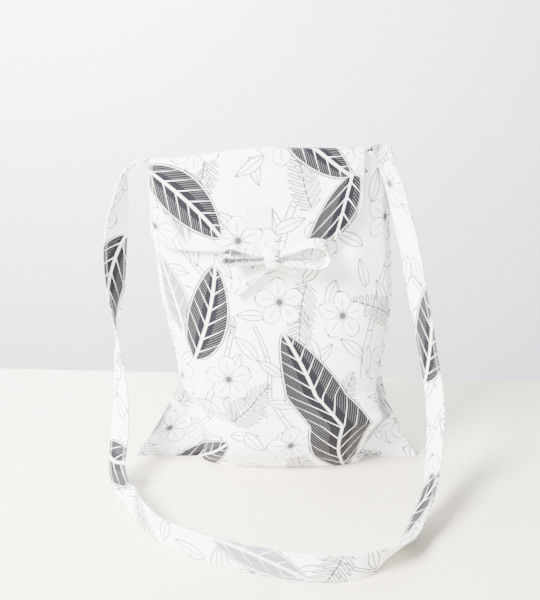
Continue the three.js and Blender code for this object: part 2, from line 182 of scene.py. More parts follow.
soft_light("window", (-1.05, -0.85, 1.15), BAG_MIDDLE, 0.6, 250, (1.0, 0.985, 0.965))
soft_light("front_fill", (0.2, -1.9, 0.75), BAG_MIDDLE, 1.2, 42, (0.97, 0.98, 1.0))
soft_light("wall_wash", (-0.75, 0.40, 1.3), WALL_SPOT, 0.8, 95, (0.96, 0.98, 1.0))
world = bpy.data.worlds.new("room")
bpy.context.scene.world = world
world.use_nodes = True
sky = world.node_tree.nodes["Background"]
sky.inputs["Color"].default_value = SKY_COLOUR
sky.inputs["Strength"].default_value = SKY_STRENGTH
print("the room has", len(bpy.data.lights), "lights")

# %% [markdown]
# ## Arithmetic as nodes
# A printed cloth is one pattern that follows every piece cut from it. Here it is worked
# out in the material, so it stays sharp close up. Sums written as nodes are long, so a
# small helper writes them: a Term is one number that varies over the cloth, and adding
# or multiplying Terms adds the node that does it.
# %% Terms and node groups
PEN_CORE = 0.35
PEN_EDGE = 0.75


def feed(tree, value, socket):
    """Gives a socket its value: a Term, or a plain number or colour."""
    if isinstance(value, Term):
        tree.links.new(value.socket, socket)
    else:
        socket.default_value = value


class Term:
    """A value that varies over the surface, held by a socket of a node tree."""

    def __init__(self, tree, socket):
        self.tree = tree
        self.socket = socket

    def math(self, operation, *others):
        """The result of a sum with this Term first."""
        node = self.tree.nodes.new("ShaderNodeMath")
        node.operation = operation
        for place, value in enumerate((self, *others)):
            feed(self.tree, value, node.inputs[place])
        return Term(self.tree, node.outputs[0])

    def __add__(self, other):
        """This value plus another."""
        return self.math("ADD", other)

    def __sub__(self, other):
        """This value less another."""
        return self.math("SUBTRACT", other)

    def __mul__(self, other):
        """This value times another."""
        return self.math("MULTIPLY", other)

    def __truediv__(self, other):
        """This value divided by another."""
        return self.math("DIVIDE", other)

    def power(self, other):
        """This value raised to a power."""
        return self.math("POWER", other)

    def size(self):
        """This value without its sign."""
        return self.math("ABSOLUTE")

    def below(self, other):
        """1 where this value is the smaller, and 0 elsewhere."""
        return self.math("LESS_THAN", other)

    def above(self, other):
        """1 where this value is the larger, and 0 elsewhere."""
        return self.math("GREATER_THAN", other)

    def either(self, other):
        """The larger of two values, so that one mark lies over the other."""
        return self.math("MAXIMUM", other)

    def without(self, other):
        """This value where the other is 0, and 0 where the other is 1."""
        return self * (other * -1 + 1)

    def wrap(self, low, high):
        """This value brought into a range by whole steps, as at each repeat of the print."""
        return self.math("WRAP", high, low)

    def near(self, width):
        """A pen line of this width where the value is zero: 1 in its core, fading to 0."""
        node = self.tree.nodes.new("ShaderNodeMapRange")
        node.interpolation_type = "SMOOTHSTEP"
        feed(self.tree, self.size(), node.inputs["Value"])
        feed(self.tree, width * PEN_CORE, node.inputs["From Min"])
        feed(self.tree, width * PEN_EDGE, node.inputs["From Max"])
        node.inputs["To Min"].default_value = 1
        node.inputs["To Max"].default_value = 0
        return Term(self.tree, node.outputs["Result"])


def new_group(name, inputs, outputs):
    """A node group with named inputs and outputs, and a Term for each input number."""
    tree = bpy.data.node_groups.new(name, "ShaderNodeTree")
    for title, kind in inputs.items():
        tree.interface.new_socket(title, in_out="INPUT", socket_type=kind)
    for title, kind in outputs.items():
        tree.interface.new_socket(title, in_out="OUTPUT", socket_type=kind)
    start = tree.nodes.new("NodeGroupInput")
    end = tree.nodes.new("NodeGroupOutput")
    given = {title: Term(tree, start.outputs[title]) for title in inputs}
    return tree, given, end


def split_axes(tree, vector):
    """The first two numbers of a vector, as Terms."""
    parts = tree.nodes.new("ShaderNodeSeparateXYZ")
    tree.links.new(vector.socket, parts.inputs[0])
    return Term(tree, parts.outputs["X"]), Term(tree, parts.outputs["Y"])


print("sums are written with Term, and groups with new_group")

# %% [markdown]
# ## The print
# The cloth is printed with plain grey pen drawings of blossoms, fronds and twigs, and some
# large dark leaves. Each motif is a node group that draws it in its own turned frame, and
# also gives the area that it covers, because a blossom hides the twig behind it. Small
# motifs are scattered, one to a cell of a grid with a chance turn and place, and large
# ones are placed one by one, each at its own place of the repeat.
# %% A motif's own frame
REPEAT_WIDTH = 0.27
REPEAT_HEIGHT = 0.36
PEN = 0.9 * MM
FINE_PEN = PEN * 0.8
NUMBER = "NodeSocketFloat"
VECTOR = "NodeSocketVector"


def turned(dx, dy, turn):
    """The two distances in a frame turned by an angle."""
    cosine = turn.math("COSINE")
    sine = turn.math("SINE")
    return dx * cosine + dy * sine, dy * cosine - dx * sine


def end_group(tree, end, **outputs):
    """Joins each Term to the output of its name, and gives back the finished group."""
    for title, term in outputs.items():
        feed(tree, term, end.inputs[title])
    print(tree.name, "is drawn with", len(tree.nodes), "nodes")
    return tree


def make_placed():
    """A frame at one place of the print, and so at the same place of every repeat."""
    tree, given, end = new_group(
        "placed",
        {"Cloth": VECTOR, "Across": NUMBER, "Up": NUMBER, "Turn": NUMBER},
        {"Along": NUMBER, "Aside": NUMBER},
    )
    u, v = split_axes(tree, given["Cloth"])
    dx = (u - given["Across"]).wrap(-REPEAT_WIDTH / 2, REPEAT_WIDTH / 2)
    dy = (v - given["Up"]).wrap(-REPEAT_HEIGHT / 2, REPEAT_HEIGHT / 2)
    along, aside = turned(dx, dy, given["Turn"])
    return end_group(tree, end, Along=along, Aside=aside)


def make_scattered():
    """A frame for each cell of a grid, with a chance place and turn in it."""
    tree, given, end = new_group(
        "scattered",
        {"Cloth": VECTOR, "Cell": NUMBER, "Stray": NUMBER, "Seed": NUMBER},
        {"Along": NUMBER, "Aside": NUMBER},
    )
    u, v = split_axes(tree, given["Cloth"])
    row_number = (v / given["Cell"] + given["Seed"]).math("FLOOR")
    row_shift = (row_number * 0.5).math("FRACT")
    column = (u / given["Cell"] + given["Seed"] + row_shift).math("FLOOR")
    centre_u = (column - row_shift - given["Seed"] + 0.5) * given["Cell"]
    centre_v = (row_number - given["Seed"] + 0.5) * given["Cell"]
    where = tree.nodes.new("ShaderNodeCombineXYZ")
    for term, title in ((column, "X"), (row_number, "Y"), (given["Seed"], "Z")):
        feed(tree, term, where.inputs[title])
    chance = tree.nodes.new("ShaderNodeTexWhiteNoise")
    tree.links.new(where.outputs[0], chance.inputs["Vector"])
    colours = tree.nodes.new("ShaderNodeSeparateXYZ")
    tree.links.new(chance.outputs["Color"], colours.inputs[0])
    x_chance, y_chance, turn_chance = (Term(tree, colours.outputs[axis]) for axis in "XYZ")
    dx = u - centre_u - (x_chance - 0.5) * given["Stray"]
    dy = v - centre_v - (y_chance - 0.5) * given["Stray"]
    along, aside = turned(dx, dy, turn_chance * (2 * math.pi))
    return end_group(tree, end, Along=along, Aside=aside)


def motif_group(name):
    """A motif's group, with its frame and size as Terms."""
    inputs = {title: NUMBER for title in ("Along", "Aside", "Length", "Width")}
    tree, given, end = new_group(name, inputs, {"Line": NUMBER, "Cover": NUMBER})
    return tree, given, end, given["Along"], given["Aside"]


placed = make_placed()
scattered = make_scattered()

# %% Blossom: five petals round a centre of stamens
PETALS = 5
STAMENS = 15
EDGE_RIPPLES = 13
# Radians in a metre, by which the ripples of the edge lean
EDGE_TWIST = 900
# Shares of the blossom's radius
NOTCH = 0.36
PETAL = 0.62
WOBBLE = 0.02
THROAT = 0.16
VEIN_START = 0.34
VEIN_END = 0.7
STAMEN_END = 0.27


def draw_blossom():
    """Round lobes for petals, with a pen outline, a few veins and a star of stamens."""
    tree, given, end, along, aside = motif_group("blossom")
    radius = (along * along + aside * aside).math("SQRT")
    angle = aside.math("ARCTAN2", along)
    reach = given["Length"] / 2
    lobe = (angle * (PETALS / 2)).math("COSINE").size()
    wobble = (angle * EDGE_RIPPLES + radius * EDGE_TWIST).math("SINE") * WOBBLE
    petal = reach * (lobe.power(0.5) * PETAL + NOTCH + wobble)
    outline = (radius - petal).near(PEN)
    inside = radius.below(petal)
    between = (radius * lobe / (PETALS / 2)).near(PEN) * radius.above(reach * THROAT)
    vein_side = (angle * (PETALS / 2)).math("SINE").size() * radius / (PETALS / 2)
    veined = radius.above(reach * VEIN_START) * radius.below(reach * VEIN_END)
    veins = vein_side.near(FINE_PEN) * veined
    stamen = (angle * (STAMENS / 2)).math("COSINE").size() * radius / (STAMENS / 2)
    stamens = stamen.near(FINE_PEN) * radius.below(reach * STAMEN_END)
    line = (between.either(veins) * inside).either(stamens).either(outline)
    return end_group(tree, end, Line=line, Cover=inside)


blossom = draw_blossom()

# %% Frond: a bent stem with slanting leaflets
LEAFLET_PITCH = 6.2 * MM
LEAFLET_SLANT = 0.75
LEAFLET_WIDTH = 0.6
FROND_BEND = 0.22
FROND_TINT = 0.42
FROND_FOOT = 0.35
FROND_TIP = 0.55
FROND_FULLNESS = 1.3
STEM_PEN = PEN * 1.2
TINY = 0.001


def bent(along, aside, length, bend):
    """Sideways distance from a stem that bends away along its length, and the share of it."""
    share = along / length
    return aside - share * share * length * bend, share


def draw_frond():
    """Leaflets on both sides of a stem, long in the middle and short at its two ends."""
    tree, given, end, along, aside = motif_group("frond")
    off, share = bent(along, aside, given["Length"], FROND_BEND)
    held = share.above(0.0) * share.below(1.0)
    rest = (share * -1 + 1).either(TINY)
    taper = share.either(TINY).power(FROND_FOOT) * rest.power(FROND_TIP)
    reach = given["Width"] / 2 * taper * FROND_FULLNESS
    out = off.size() / reach.either(TINY / 2)
    row = (along - off.size() * LEAFLET_SLANT) / LEAFLET_PITCH
    aside_of_leaflet = ((row.math("FRACT") - 0.5) * LEAFLET_PITCH).size()
    half = (out * (out * -1 + 1)).either(0.0).math("SQRT") * (LEAFLET_PITCH * LEAFLET_WIDTH)
    leaflets = out.below(1.0) * held
    inside = leaflets * aside_of_leaflet.below(half)
    outline = (aside_of_leaflet - half).near(PEN) * leaflets
    stem = off.near(STEM_PEN) * held
    return end_group(tree, end, Line=outline.either(stem).either(inside * FROND_TINT), Cover=inside)


frond = draw_frond()

# %% Twig: two pen lines that wander together, with a joint across them here and there
JOINT_PITCH = 31 * MM
TWIG_WAVE = (31, 6 * MM)
TWIG_RIPPLE = (83, 1.2 * MM)


def sway(along, wave):
    """How far a line has wandered aside, by a wave's radians in a metre and its reach."""
    radians, reach = wave
    return (along * radians).math("SINE") * reach


def draw_twig():
    """A thin branch that narrows by half towards its tip."""
    tree, given, end, along, aside = motif_group("twig")
    length = given["Length"]
    half = given["Width"] / 2 * (along / length * -0.5 + 1)
    off = (aside - (sway(along, TWIG_WAVE) + sway(along, TWIG_RIPPLE))).size()
    held = along.above(0.0) * along.below(length)
    inside = off.below(half) * held
    joint = ((along / JOINT_PITCH).math("FRACT") - 0.5) * JOINT_PITCH
    line = (off - half).near(PEN) * held
    return end_group(tree, end, Line=line.either(joint.near(PEN) * inside), Cover=inside)


twig = draw_twig()

# %% Leaf: a plain pointed leaf with a midrib, and a broad one with side veins
VEIN_PITCH = 15 * MM
VEIN_SLANT = 1.15
VEIN_WIDTH = 1.3 * MM
# Shares of that width, at the midrib and at the least
VEIN_FOOT = 1.15
VEIN_TIP = 0.05
MIDRIB_WIDTH = 2.6 * MM
RIM_INSET = 1.6 * MM
RIM_WIDTH = 0.9 * MM
HATCHES = 5
HATCH_WIDTH = 0.7 * MM
HATCH_START = 0.35
HATCH_TINT = 0.1
# Each leaf's bend as a share of its length, and a power that is low for a full outline
SMALL_LEAF = (0.15, 0.9)
BROAD_LEAF = (0.18, 0.62)
WIDEST = 0.85


def leaf_outline(given, along, aside, bend, fullness):
    """Distance aside of the midrib, the half width there, and where the leaf is."""
    off, share = bent(along, aside, given["Length"], bend)
    held = share.above(0.0) * share.below(1.0)
    round_share = (share.either(0.0).power(WIDEST) * math.pi).math("SINE").either(0.0)
    half = given["Width"] / 2 * round_share.power(fullness)
    return off, half, held


def draw_leaf():
    """A pen outline and a midrib, with no tint."""
    tree, given, end, along, aside = motif_group("leaf")
    off, half, held = leaf_outline(given, along, aside, *SMALL_LEAF)
    inside = off.size().below(half) * held
    outline = (off.size() - half).near(PEN) * held
    return end_group(tree, end, Line=outline.either(off.near(FINE_PEN) * inside), Cover=inside)


def draw_broad_leaf():
    """Its Line is 1 on the light veins, and less on the fine hatching between them."""
    tree, given, end, along, aside = motif_group("broad leaf")
    off, half, held = leaf_outline(given, along, aside, *BROAD_LEAF)
    inside = off.size().below(half) * held
    row = (along - off.size() * VEIN_SLANT) / VEIN_PITCH
    aside_of_vein = (row.math("FRACT") - 0.5) * VEIN_PITCH
    taper = (off.size() / half.either(TINY) * -1 + VEIN_FOOT).either(VEIN_TIP) * VEIN_WIDTH
    side_veins = aside_of_vein.near(taper)
    midrib = off.near(MIDRIB_WIDTH)
    hatch = ((row * HATCHES).math("FRACT") - 0.5) * (VEIN_PITCH / HATCHES)
    hatching = hatch.near(HATCH_WIDTH) * off.size().above(half * HATCH_START) * HATCH_TINT
    rim = (off.size() - half + RIM_INSET).near(RIM_WIDTH)
    line = side_veins.either(midrib).either(rim).either(hatching)
    return end_group(tree, end, Line=line * inside, Cover=inside)


leaf = draw_leaf()
broad_leaf = draw_broad_leaf()

# %% [markdown]
# ## The whole repeat
# The print is laid up from the back, as it was drawn: twigs, then small leaves, fronds and
# blossoms in front of them, and the large dark leaves last. Each placed row below is
# across, up, turn in degrees, length and width. Each scattered row is the cell, how far a
# motif may stray in it, the seed of its chances, length and width, all in millimetres.
# %% Where the motifs lie
TWIGS = [
    (20, 8, 68, 200, 7),
    (150, 20, 104, 170, 6),
    (215, 130, 75, 190, 7),
    (92, 215, 128, 120, 5),
]
SCATTERED_LEAVES = [(43, 12, 0.0, 27, 10), (51, 14, 3.4, 30, 11)]
SCATTERED_FRONDS = [(88, 10, 7.3, 66, 40)]
SCATTERED_BLOSSOMS = [(72, 20, 1.7, 46, 46)]
DARK_LEAVES = [
    (196, 14, 99, 172, 62),
    (52, 150, 62, 96, 42),
    (8, -8, 34, 98, 44),
    (128, 322, 28, 84, 36),
]
LILAC_LEAVES = [
    (226, 30, 70, 96, 34),
    (44, 176, 96, 80, 30),
    (30, 6, 62, 62, 26),
]
GROUND_INK = (0.93, 0.93, 0.93, 1)
PEN_INK = (0.055, 0.053, 0.06, 1)
DARK_INK = (0.006, 0.0056, 0.010, 1)
LILAC_INK = (0.22, 0.21, 0.27, 1)
VEIN_LIGHT = 0.8


def use_group(tree, group, **values):
    """A node that uses a group, with each input a number or a Term."""
    node = tree.nodes.new("ShaderNodeGroup")
    node.node_tree = group
    for title, value in values.items():
        feed(tree, value, node.inputs[title])
    return node


def draw_in(tree, motif, spot, back, length, width):
    """Line and Cover of a motif whose foot lies this far back from its spot."""
    along = Term(tree, spot.outputs["Along"]) + back
    aside = Term(tree, spot.outputs["Aside"])
    drawn = use_group(tree, motif, Along=along, Aside=aside, Length=length, Width=width)
    return Term(tree, drawn.outputs["Line"]), Term(tree, drawn.outputs["Cover"])


def draw_placed(tree, cloth, motif, rows):
    """A motif at each of its places, with its foot there."""
    for across, up, turn, length, width in rows:
        spot = use_group(tree, placed, Cloth=cloth, Across=across * MM, Up=up * MM,
                         Turn=math.radians(turn))
        yield draw_in(tree, motif, spot, 0, length * MM, width * MM)


def draw_scattered(tree, cloth, motif, rows, footed=True):
    """A motif in each cell of a grid, with its middle there: it has a foot, or is round."""
    for cell, stray, seed, length, width in rows:
        spot = use_group(tree, scattered, Cloth=cloth, Cell=cell * MM, Stray=stray * MM, Seed=seed)
        back = length / 2 * MM if footed else 0
        yield draw_in(tree, motif, spot, back, length * MM, width * MM)


def blend_ink(tree, under, over, share):
    """The colour under, with over printed on it by a share."""
    node = tree.nodes.new("ShaderNodeMix")
    node.data_type = "RGBA"
    feed(tree, share, node.inputs["Factor"])
    for name, ink in (("A", under), ("B", over)):
        feed(tree, ink, next(s for s in node.inputs if s.name == name and s.type == "RGBA"))
    return Term(tree, next(s for s in node.outputs if s.type == "RGBA"))


def make_print():
    """The whole repeat as one group, from a place on the cloth to its colour."""
    tree, given, end = new_group("botanical print", {"Cloth": VECTOR}, {"Color": "NodeSocketColor"})
    cloth = given["Cloth"]
    line = None
    layers = (
        draw_placed(tree, cloth, twig, TWIGS),
        draw_scattered(tree, cloth, leaf, SCATTERED_LEAVES),
        draw_scattered(tree, cloth, frond, SCATTERED_FRONDS),
        draw_scattered(tree, cloth, blossom, SCATTERED_BLOSSOMS, footed=False),
    )
    for layer in layers:
        for nearer, cover in layer:
            line = nearer if line is None else line.without(cover).either(nearer)
    colour = blend_ink(tree, GROUND_INK, PEN_INK, line)
    for rows, ink in ((LILAC_LEAVES, LILAC_INK), (DARK_LEAVES, DARK_INK)):
        for veins, cover in draw_placed(tree, cloth, broad_leaf, rows):
            colour = blend_ink(tree, colour, ink, cover)
            colour = blend_ink(tree, colour, GROUND_INK, veins * VEIN_LIGHT)
    return end_group(tree, end, Color=colour)


botanical_print = make_print()

# %% [markdown]
# ## Canvas
# Plain canvas is a coarse over-and-under weave with slightly uneven threads. The threads
# are half a millimetre wide, so they show as a grain close up and as softness from afar.
# The same weave group serves the canvas, the lining and the label, each at its own pitch.
# %% Weave
THREAD = 0.55 * MM
SLUBS = 900
SLUB_HEIGHT = 0.6


def make_weave():
    """Height of the threads, with each one over and under the next, and slubs in them."""
    tree, given, end = new_group("weave", {"Cloth": VECTOR, "Pitch": NUMBER}, {"Height": NUMBER})
    u, v = split_axes(tree, given["Cloth"])
    slub = tree.nodes.new("ShaderNodeTexNoise")
    slub.inputs["Scale"].default_value = SLUBS
    feed(tree, given["Cloth"], slub.inputs["Vector"])
    uneven = Term(tree, slub.outputs["Fac"])
    warp = (u / given["Pitch"] * math.pi).math("SINE").size()
    weft = (v / given["Pitch"] * math.pi).math("SINE").size()
    side = (u / given["Pitch"]).math("FLOOR") + (v / given["Pitch"]).math("FLOOR")
    over = side.math("MODULO", 2.0).size()
    height = warp * over + weft.without(over) + uneven * SLUB_HEIGHT
    return end_group(tree, end, Height=height)


weave = make_weave()
print("the canvas has", round(1 / THREAD / 100), "threads to the centimetre")

# %% Cloth materials
SHEEN_ROUGHNESS = 0.5
GLOSS = 0.15
CLOUDS = 35
CLOUD_SHADE = 0.95
# Painted shade along seams, edges and folds: how dark it gets, and the share that a mark of 1 lays on
SEAM_SHADE_COLOUR = 0.55
SEAM_SHADE_SHARE = 0.35
WEAVE_STRENGTH = 0.35
WEAVE_RELIEF = 0.12 * MM


def shaded(ink, share):
    """An ink at a share of its brightness."""
    return tuple(part * share for part in ink[:3]) + (1,)


def clouded(tree, place, ink):
    """The colour of plain cloth, with faint clouds a little darker than its ink."""
    cloud = tree.nodes.new("ShaderNodeTexNoise")
    cloud.inputs["Scale"].default_value = CLOUDS
    feed(tree, place, cloud.inputs["Vector"])
    return blend_ink(tree, shaded(ink, CLOUD_SHADE), ink, Term(tree, cloud.outputs["Fac"]))


def add_weave(tree, place, pitch, shader):
    """Threads as a shallow relief, which turns the shader's normal."""
    woven = use_group(tree, weave, Cloth=place, Pitch=pitch)
    bump = tree.nodes.new("ShaderNodeBump")
    bump.inputs["Strength"].default_value = WEAVE_STRENGTH
    bump.inputs["Distance"].default_value = WEAVE_RELIEF
    tree.links.new(woven.outputs["Height"], bump.inputs["Height"])
    tree.links.new(bump.outputs["Normal"], shader.inputs["Normal"])


def cloth_material(name, ink, pitch, roughness, sheen, pattern=None, offset=(0, 0)):
    """Woven cloth of one ink, or with a pattern laid from an offset on the cloth's own map.

    The seam attribute paints shade on it, along pressed stitches, edges and folds.
    """
    made = bpy.data.materials.new(name)
    made.use_nodes = True
    tree = made.node_tree
    nodes = tree.nodes
    shader = nodes["Principled BSDF"]
    shader.inputs["Roughness"].default_value = roughness
    shader.inputs["Sheen Weight"].default_value = sheen
    shader.inputs["Sheen Roughness"].default_value = SHEEN_ROUGHNESS
    shader.inputs["Specular IOR Level"].default_value = GLOSS
    cloth = nodes.new("ShaderNodeUVMap")
    cloth.uv_map = "cloth"
    laid = nodes.new("ShaderNodeMapping")
    laid.inputs["Location"].default_value = (*offset, 0)
    tree.links.new(cloth.outputs["UV"], laid.inputs["Vector"])
    place = Term(tree, laid.outputs["Vector"])
    if pattern:
        colour = Term(tree, use_group(tree, pattern, Cloth=place).outputs["Color"])
    else:
        colour = clouded(tree, place, ink)
    # Painted shade, read from the seam attribute
    seam = nodes.new("ShaderNodeAttribute")
    seam.attribute_name = "seam"
    seam_painted_shade = Term(tree, seam.outputs["Fac"]) * SEAM_SHADE_SHARE
    feed(tree, blend_ink(tree, colour, shaded(ink, SEAM_SHADE_COLOUR), seam_painted_shade), shader.inputs["Base Color"])
    add_weave(tree, place, pitch, shader)
    return made


print("cloth has its weave", round(WEAVE_RELIEF / MM, 2), "mm deep")

# %% The cloths of the bag
CANVAS_FEEL = (0.85, 0.1)


def printed_canvas(part, *offset):
    """The same printed canvas, cut for each part of the bag at its own place in the repeat."""
    name = "printed canvas " + part
    return cloth_material(name, GROUND_INK, THREAD, *CANVAS_FEEL, botanical_print, offset)


front_canvas = printed_canvas("front", 0.135, -0.012)
back_canvas = printed_canvas("back", 0.30, 0.10)
flap_canvas = printed_canvas("flap", 0.11, 0.30)
strap_canvas = printed_canvas("strap", 0.032, 0.068)
tie_canvas = printed_canvas("ties", 0.15, 0.22)
lining_cotton = cloth_material("lining cotton", (0.88, 0.865, 0.83, 1), 0.4 * MM, 0.9, 0.2)
label_tape = cloth_material("label tape", (0.85, 0.835, 0.735, 1), 0.3 * MM, 0.6, 0.1)
thread_white = cloth_material("sewing thread", (0.86, 0.86, 0.855, 1), 0.2 * MM, 0.7, 0.3)
print("made", len(bpy.data.materials), "materials")

# %% [markdown]
# ## Soft rises and hills
# Cloth has no sudden steps, so a few small sums shape it again and again: a smooth rise
# between two places, a soft hill round one place, and a chance unevenness, without which
# a sewn panel looks like moulded plastic.
# %% Small sums that every piece uses
def clamp(value, low=0.0, high=1.0):
    """The value, held between two limits."""
    return min(high, max(low, value))


def mix(a, b, share):
    """The place between a and b at a share of the way."""
    return a + (b - a) * share


def ease(value, low, high):
    """0 up to low and 1 from high, with a smooth rise between them."""
    share = clamp((value - low) / (high - low))
    return share * share * (3 - 2 * share)


def hill(distance, width):
    """1 at no distance, falling away smoothly on both sides over this width."""
    return math.exp(-((distance / width) ** 2))


def uneven(x, z, size, seed):
    """Chance unevenness of cloth, as wide, high and deep as its size says."""
    width, height, depth = size
    return noise.noise(Vector((x / width, z / height, seed))) * depth


print("a hill has fallen to", round(hill(1, 1), 2), "at its width")

# %% [markdown]
# ## Laying a grid of cloth
# Every panel starts from the same helper. It makes a flat grid, moves each point to where
# the piece holds it, and then walks along the rows to write how far each point lies from
# the middle of the cloth. The print reads that map, in metres, so it isn't stretched.
# %% Grid of cloth
def cloth_layers(mesh):
    """The print's map, and the mark of painted shade along seams, edges and folds, made where they are
    missing.
    """
    maps = mesh.loops.layers.uv
    marks = mesh.verts.layers.float
    return maps.get("cloth") or maps.new("cloth"), marks.get("seam") or marks.new("seam")


def flat_grid(mesh, columns, rows):
    """Adds a flat grid to a mesh, and gives its points by column and row."""
    made = bmesh.ops.create_grid(mesh, x_segments=columns, y_segments=rows, size=1)
    return {
        (round((vert.co.x + 1) / 2 * columns), round((vert.co.y + 1) / 2 * rows)): vert
        for vert in made["verts"]
    }


def measure_cloth(place, columns, rows):
    """How far each point lies from the middle column along its row, and how far up."""
    middle = columns // 2
    cloth = {}
    up = 0.0
    for j in range(rows + 1):
        if j:
            up += (place[middle, j].co - place[middle, j - 1].co).length
        cloth[place[middle, j]] = (0.0, up)
        for step in (1, -1):
            run = 0.0
            i = middle + step
            while 0 <= i <= columns:
                run += (place[i, j].co - place[i - step, j].co).length
                cloth[place[i, j]] = (run * step, up)
                i += step
    return cloth


def lay_cloth(mesh, columns, rows, point_at, painted_shade_at=None):
    """Adds a grid of cloth with its measured map and painted shade. The point and shade functions take
    shares 0 to 1.
    """
    layer, seam = cloth_layers(mesh)
    place = flat_grid(mesh, columns, rows)
    for (i, j), vert in place.items():
        vert.co = point_at(i / columns, j / rows)
    cloth = measure_cloth(place, columns, rows)
    for face in {face for vert in place.values() for face in vert.link_faces}:
        face.smooth = True
        for loop in face.loops:
            loop[layer].uv = cloth[loop.vert]
    for (i, j), vert in place.items():
        vert[seam] = painted_shade_at(i / columns, j / rows) if painted_shade_at else 0.0


print("a grid of cloth measures its own print map")

# %% Seams, walls and objects
SEAM_GAP = 0.05 * MM


def close_seams(mesh):
    """Joins the points that meet along a seam, and turns the faces outwards."""
    bmesh.ops.remove_doubles(mesh, verts=mesh.verts, dist=SEAM_GAP)
    bmesh.ops.recalc_face_normals(mesh, faces=mesh.faces)


def give_wall(piece, name, thickness, offset=-1):
    """Gives the cloth its thickness: inwards, or to both sides with an offset of 0."""
    wall = piece.modifiers.new(name, "SOLIDIFY")
    wall.thickness = thickness
    wall.offset = offset
    return wall


def finish_piece(name, mesh, *materials, slot_name):
    """Turns a mesh into an object of the bag, in place and with its materials."""
    piece = bpy.data.objects.new(name, bpy.data.meshes.new(name))
    mesh.to_mesh(piece.data)
    mesh.free()
    for material in materials:
        piece.data.materials.append(material)
    bpy.context.collection.objects.link(piece)
    return piece


print("points closer than", round(SEAM_GAP / MM, 2), "mm are sewn together")

# %% [markdown]
# ## The stuffed body
# The body is two rectangles of canvas sewn at the sides and along the bottom. Stuffing
# swells the middle, but the bottom corners stay flat, like ears, and the side seams pull
# in above them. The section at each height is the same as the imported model's, a rounded
# box between two flat edges. To that the cloth adds what a sewn panel shows: creases that
# run in from the pinched corners, a soft hollow under the bow, and puckers at the seams.
# %% Section of the body, in millimetres
BAG_HEIGHT = 309
MOUTH_DIP = 10
BASE_WIDTH = 292
WAIST_WIDTH = 202
MOUTH_WIDTH = 223
WAIST_HEIGHT = 94
LEAN = 11.5
BASE_DEPTH = 50
BELLY_DEPTH = 100
BELLY_HEIGHT = 60
MOUTH_DEPTH = 44
EAR_FLARE = 1.5
BELLY_SWELL = 2.5
CHEST_TAPER = 1.8
# Heights between which the bag widens again to its mouth
CHEST_RISE = (WAIST_HEIGHT * 0.9, BAG_HEIGHT * 0.6)
# Each ear's width at the bottom, its height, and how it narrows on the way up
LEFT_EAR = (67, 88, 1.35)
RIGHT_EAR = (54, 56, 2)
SEAM_RIDGE = 2.0
SEAM_FLANGE = 1.5
SEAM_SETBACK = 4
BOXINESS = 2.6


def section(height):
    """Half width, middle, half depth and the two ears' widths at a height."""
    waist = WAIST_WIDTH / 2
    ear_share = max(0.0, 1 - height / WAIST_HEIGHT) ** EAR_FLARE
    chest_share = ease(height, *CHEST_RISE)
    half = waist + (BASE_WIDTH / 2 - waist) * ear_share + (MOUTH_WIDTH / 2 - waist) * chest_share
    middle = LEAN * (ease(height, 0, WAIST_HEIGHT) / 4 - ease(height, WAIST_HEIGHT, BAG_HEIGHT))
    lower = 1 - max(0.0, 1 - height / BELLY_HEIGHT) ** BELLY_SWELL
    upper = max(0.0, (height - BELLY_HEIGHT) / (BAG_HEIGHT - BELLY_HEIGHT)) ** CHEST_TAPER
    depth = mix(mix(BASE_DEPTH, BELLY_DEPTH, lower), MOUTH_DEPTH, upper) / 2
    left, right = (
        width * max(0.0, 1 - (height / top) ** power) for width, top, power in (LEFT_EAR, RIGHT_EAR)
    )
    return half, middle, depth, left, right


def mouth_dip(x):
    """How far the rim sags towards the left corner."""
    return MOUTH_DIP * (1 - ease(x, -MOUTH_WIDTH / 2, 0))


print("the belly is", round(2 * section(BELLY_HEIGHT)[2]), "mm deep")

# %% Creases, hollows and puckers of the front and back, in millimetres
# A crease is a line of (x, z) points with its depth at the start and end, and its width.
FRONT_CREASES = [
    ([(-86, 66), (-77, 60), (-58, 55), (-43, 50), (-34, 47), (-6, 42), (22, 40)], 10.5, 0.0, 6.5),
    ([(-112, 22), (-96, 40), (-84, 58)], 0.0, 2.5, 6.0),
    ([(53, 232), (54, 205), (58, 178), (62, 150)], 3.6, 0.0, 8.0),
    ([(-116, 292), (-104, 280), (-92, 262)], 2.0, 0.0, 4.0),
    ([(-112, 268), (-100, 262), (-84, 258)], 1.4, 0.0, 4.0),
    ([(96, 286), (90, 262), (88, 236)], 1.6, 0.0, 6.0),
    ([(104, 96), (86, 88), (60, 84), (30, 86)], 3.4, 0.0, 8.0),
    ([(-98, 118), (-84, 128), (-66, 134)], 3.2, 0.0, 7.0),
    ([(-100, 150), (-88, 150), (-72, 146)], 1.5, 0.0, 5.0),
    ([(106, 142), (92, 150), (74, 154)], 2.6, 0.0, 6.0),
    ([(60, 4), (40, 12), (10, 15)], 2.2, 0.0, 5.0),
    ([(-62, 3), (-44, 12), (-24, 15)], 1.8, 0.0, 5.0),
]
BACK_CREASES = [
    ([(-92, 62), (-66, 56), (-38, 44), (0, 40)], 5.5, 0.0, 8.0),
    ([(96, 52), (74, 50), (44, 42), (14, 38)], 5.0, 0.0, 8.0),
    ([(-104, 130), (-80, 142), (-52, 148)], 2.4, 0.0, 8.0),
    ([(104, 150), (84, 160), (58, 162)], 2.2, 0.0, 8.0),
    ([(-20, 260), (-14, 220), (-16, 180)], 1.8, 0.0, 12.0),
    ([(46, 250), (40, 210), (44, 176)], 1.5, 0.0, 11.0),
]
print("the front has", len(FRONT_CREASES), "creases and the back", len(BACK_CREASES))

# %% The fold over the right ear, the hollows and the unevenness, in millimetres
# Along this line, from the right seam down to the bottom, the belly folds over the ear.
RIGHT_TUCK = [(120, 46), (106, 36), (95, 26), (85, 19), (74, 10), (60, 1)]
TUCK_DEPTH = 11
